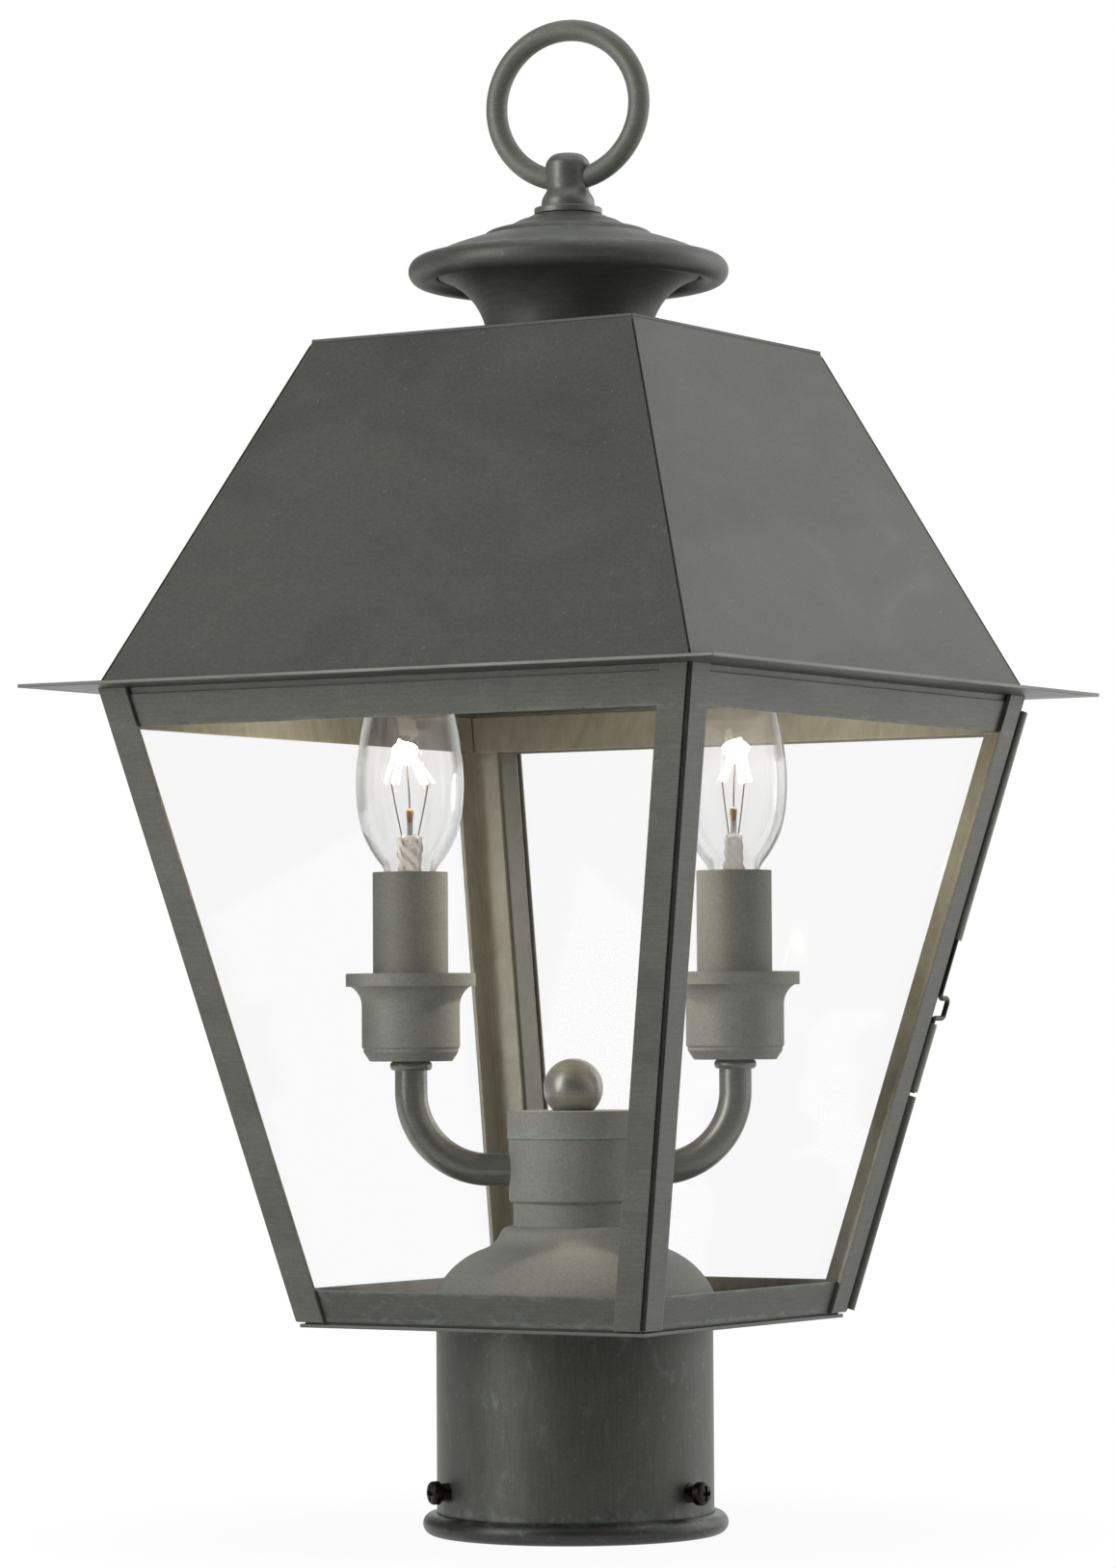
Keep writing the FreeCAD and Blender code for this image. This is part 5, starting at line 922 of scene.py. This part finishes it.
# Each hip runs in a straight line from a lower corner to the upper one above it, and stops short of
# both by a hundredth of its length.
climb = np.linspace(0.01, 0.99, 50)[:, None]
hip_half = ROOF_FOOT_HALF + (ROOF_HEAD_HALF - ROOF_FOOT_HALF) * climb - HIP_INSET
hip_height = ROOF_FOOT + (ROOF_HEAD - ROOF_FOOT) * climb
hips = [np.hstack([x * hip_half, y * hip_half, hip_height])
        for x, y in ((1, -1), (1, 1), (-1, 1), (-1, -1))]
hip_seams = wire_piece("roof_hip_solder_painted_shadow", hips, HIP_RADIUS, seam_solder, (0, 0, 1), 12)
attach(hip_seams, "lantern")


# Chimney: spun brass, flared outwards under the cap, where warm air leaves the lantern. The cap's
# shade and the soot inside keep it dark.

chimney_brass = weathered("spun_chimney_brass", "#696a63", "#75766f", metal=0.4, green_share=0.08)
dress(chimney_brass, "chimney")


# Smoke cap: a shallow brass cone, spun with two raised lines and a step, its rim curled down round
# a circle into a hollow roll. A finger's width under it is open for the air. The bath left it dark,
# with verdigris at the step and where the roll begins.

CAP_GAUGE = 0.9
# (radius, height)
CAP_LINE = [(2.45, 386.9), (8.0, 386.9), (9.9, 386.75), (11.5, 386.1), (13.0, 385.35),
            (13.9, 385.15), (14.9, 384.75), (17.4, 383.45), (19.4, 382.75), (21.4, 382.3),
            (23.0, 381.85), (24.1, 381.35), (24.75, 380.75), (25.1, 380.2), (25.9, 379.95),
            (28.5, 379.25), (32.5, 377.95), (36.0, 376.7), (39.0, 375.35), (41.0, 374.45),
            (41.9, 374.2), (42.4, 374.0)]
ROLL_RADIUS = 4.05
ROLL_CENTRE = (43.15, 370.0)
ROLL_START, ROLL_STOP = 100, -175

cap_brass = weathered("spun_cap_brass", "#5e5f58", "#6e6f68", draw=(1.2, 1.2, 2.0), metal=0.42,
                      rough=0.48, pools=[(379.8, 1.6), (374, 1.4)])
# Section: the top line, the roll's outer circle from its joint round to the inside, then the same
# circle and line one gauge further in.
top_line = smooth_line(CAP_LINE, 3)
swing = np.radians(np.linspace(ROLL_START, ROLL_STOP, 40))
roll = np.stack([ROLL_CENTRE[0] + ROLL_RADIUS * np.cos(swing),
                 ROLL_CENTRE[1] + ROLL_RADIUS * np.sin(swing)], 1)
in_swing = swing[::-1]
roll_in = np.stack([ROLL_CENTRE[0] + (ROLL_RADIUS - CAP_GAUGE) * np.cos(in_swing),
                    ROLL_CENTRE[1] + (ROLL_RADIUS - CAP_GAUGE) * np.sin(in_swing)], 1)
under_line = (top_line - [0, CAP_GAUGE])[::-1]
cap = spun("spun_smoke_cap", np.vstack([top_line, roll, roll_in, under_line]), cap_brass,
           segments=160, sharp=60)
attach(cap, "lantern")
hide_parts("smoke_cap")


# Finial: a turned brass barrel with round shoulders, a slight waist and a flared foot, screwed on
# to the stud over a bevelled washer. It clamps the cap and carries the ring. Its skin is paler than
# the cap's, with verdigris at the washer.

WASHER_LINE = [(2.45, 386.9), (9.85, 386.9), (10.0, 387.05), (10.0, 388.55), (9.85, 388.75),
               (8.4, 388.9), (2.45, 388.9)]
BARREL_LINE = [(0.0, 388.9), (7.3, 388.9), (7.72, 389.2), (7.87, 390.0), (7.7, 391.3),
               (7.15, 392.5), (6.45, 393.7), (6.12, 394.9), (6.3, 396.3), (6.5, 398.3),
               (6.56, 400.6), (6.45, 402.1), (5.8, 403.3), (4.8, 404.3), (3.6, 404.85),
               (1.6, 405.0), (0.0, 405.0)]

finial_brass = weathered("turned_finial_brass", "#7a7b74", "#888981", metal=0.45, rough=0.42,
                         pools=[(388.2, 1.0)])
washer = spun("bevelled_washer", WASHER_LINE, finial_brass, sharp=35)
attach(washer, "lantern")
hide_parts("finial_washer")
barrel = spun("turned_barrel", smooth_line(BARREL_LINE, 5), finial_brass, closed=False, sharp=60)
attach(barrel, "lantern")
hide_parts("ring_finial")


# Hanging ring: 6.3 mm brass rod bent to a ring through the barrel and brazed there. Verdigris has
# grown on the braze.

ring_brass = weathered("bent_rod_brass", "#86877e", "#92938a", draw=(1.5, 1.5, 1.5), metal=0.35,
                       rough=0.56, pools=[(398.5, 5.5)])
dress(ring_brass, "hanging_ring")


# Door: a channel of folded brass round its glass, mitred and soldered at the corners, with hinge
# knuckles and latch tubes of thin brass tube soldered along its stiles. Its outside is painted
# paler than the posts, a painted light, and its inner faces darker, a painted shade.

door_brass = weathered("channel_brass_painted_light_and_shade", "#8f9088", "#9b9c94", metal=0.4, rough=0.48,
                       brush=UPRIGHT, inner=("#4b4c45", "#5a5b54"))
dress(door_brass, "door_frame", "door_tubes")


# Hinge pin and latch: hard brass wire, darkened bronze. The latch wire is bent to a finger loop and
# slides in two tubes soldered to the door and the post.

bronzed_wire = weathered("bronzed_spring_wire", "#3a3630", "#4a443b", metal=0.7, rough=0.36,
                         edge_lift=0.4)
dress(bronzed_wire, "hinge_pin", "latch_wire")
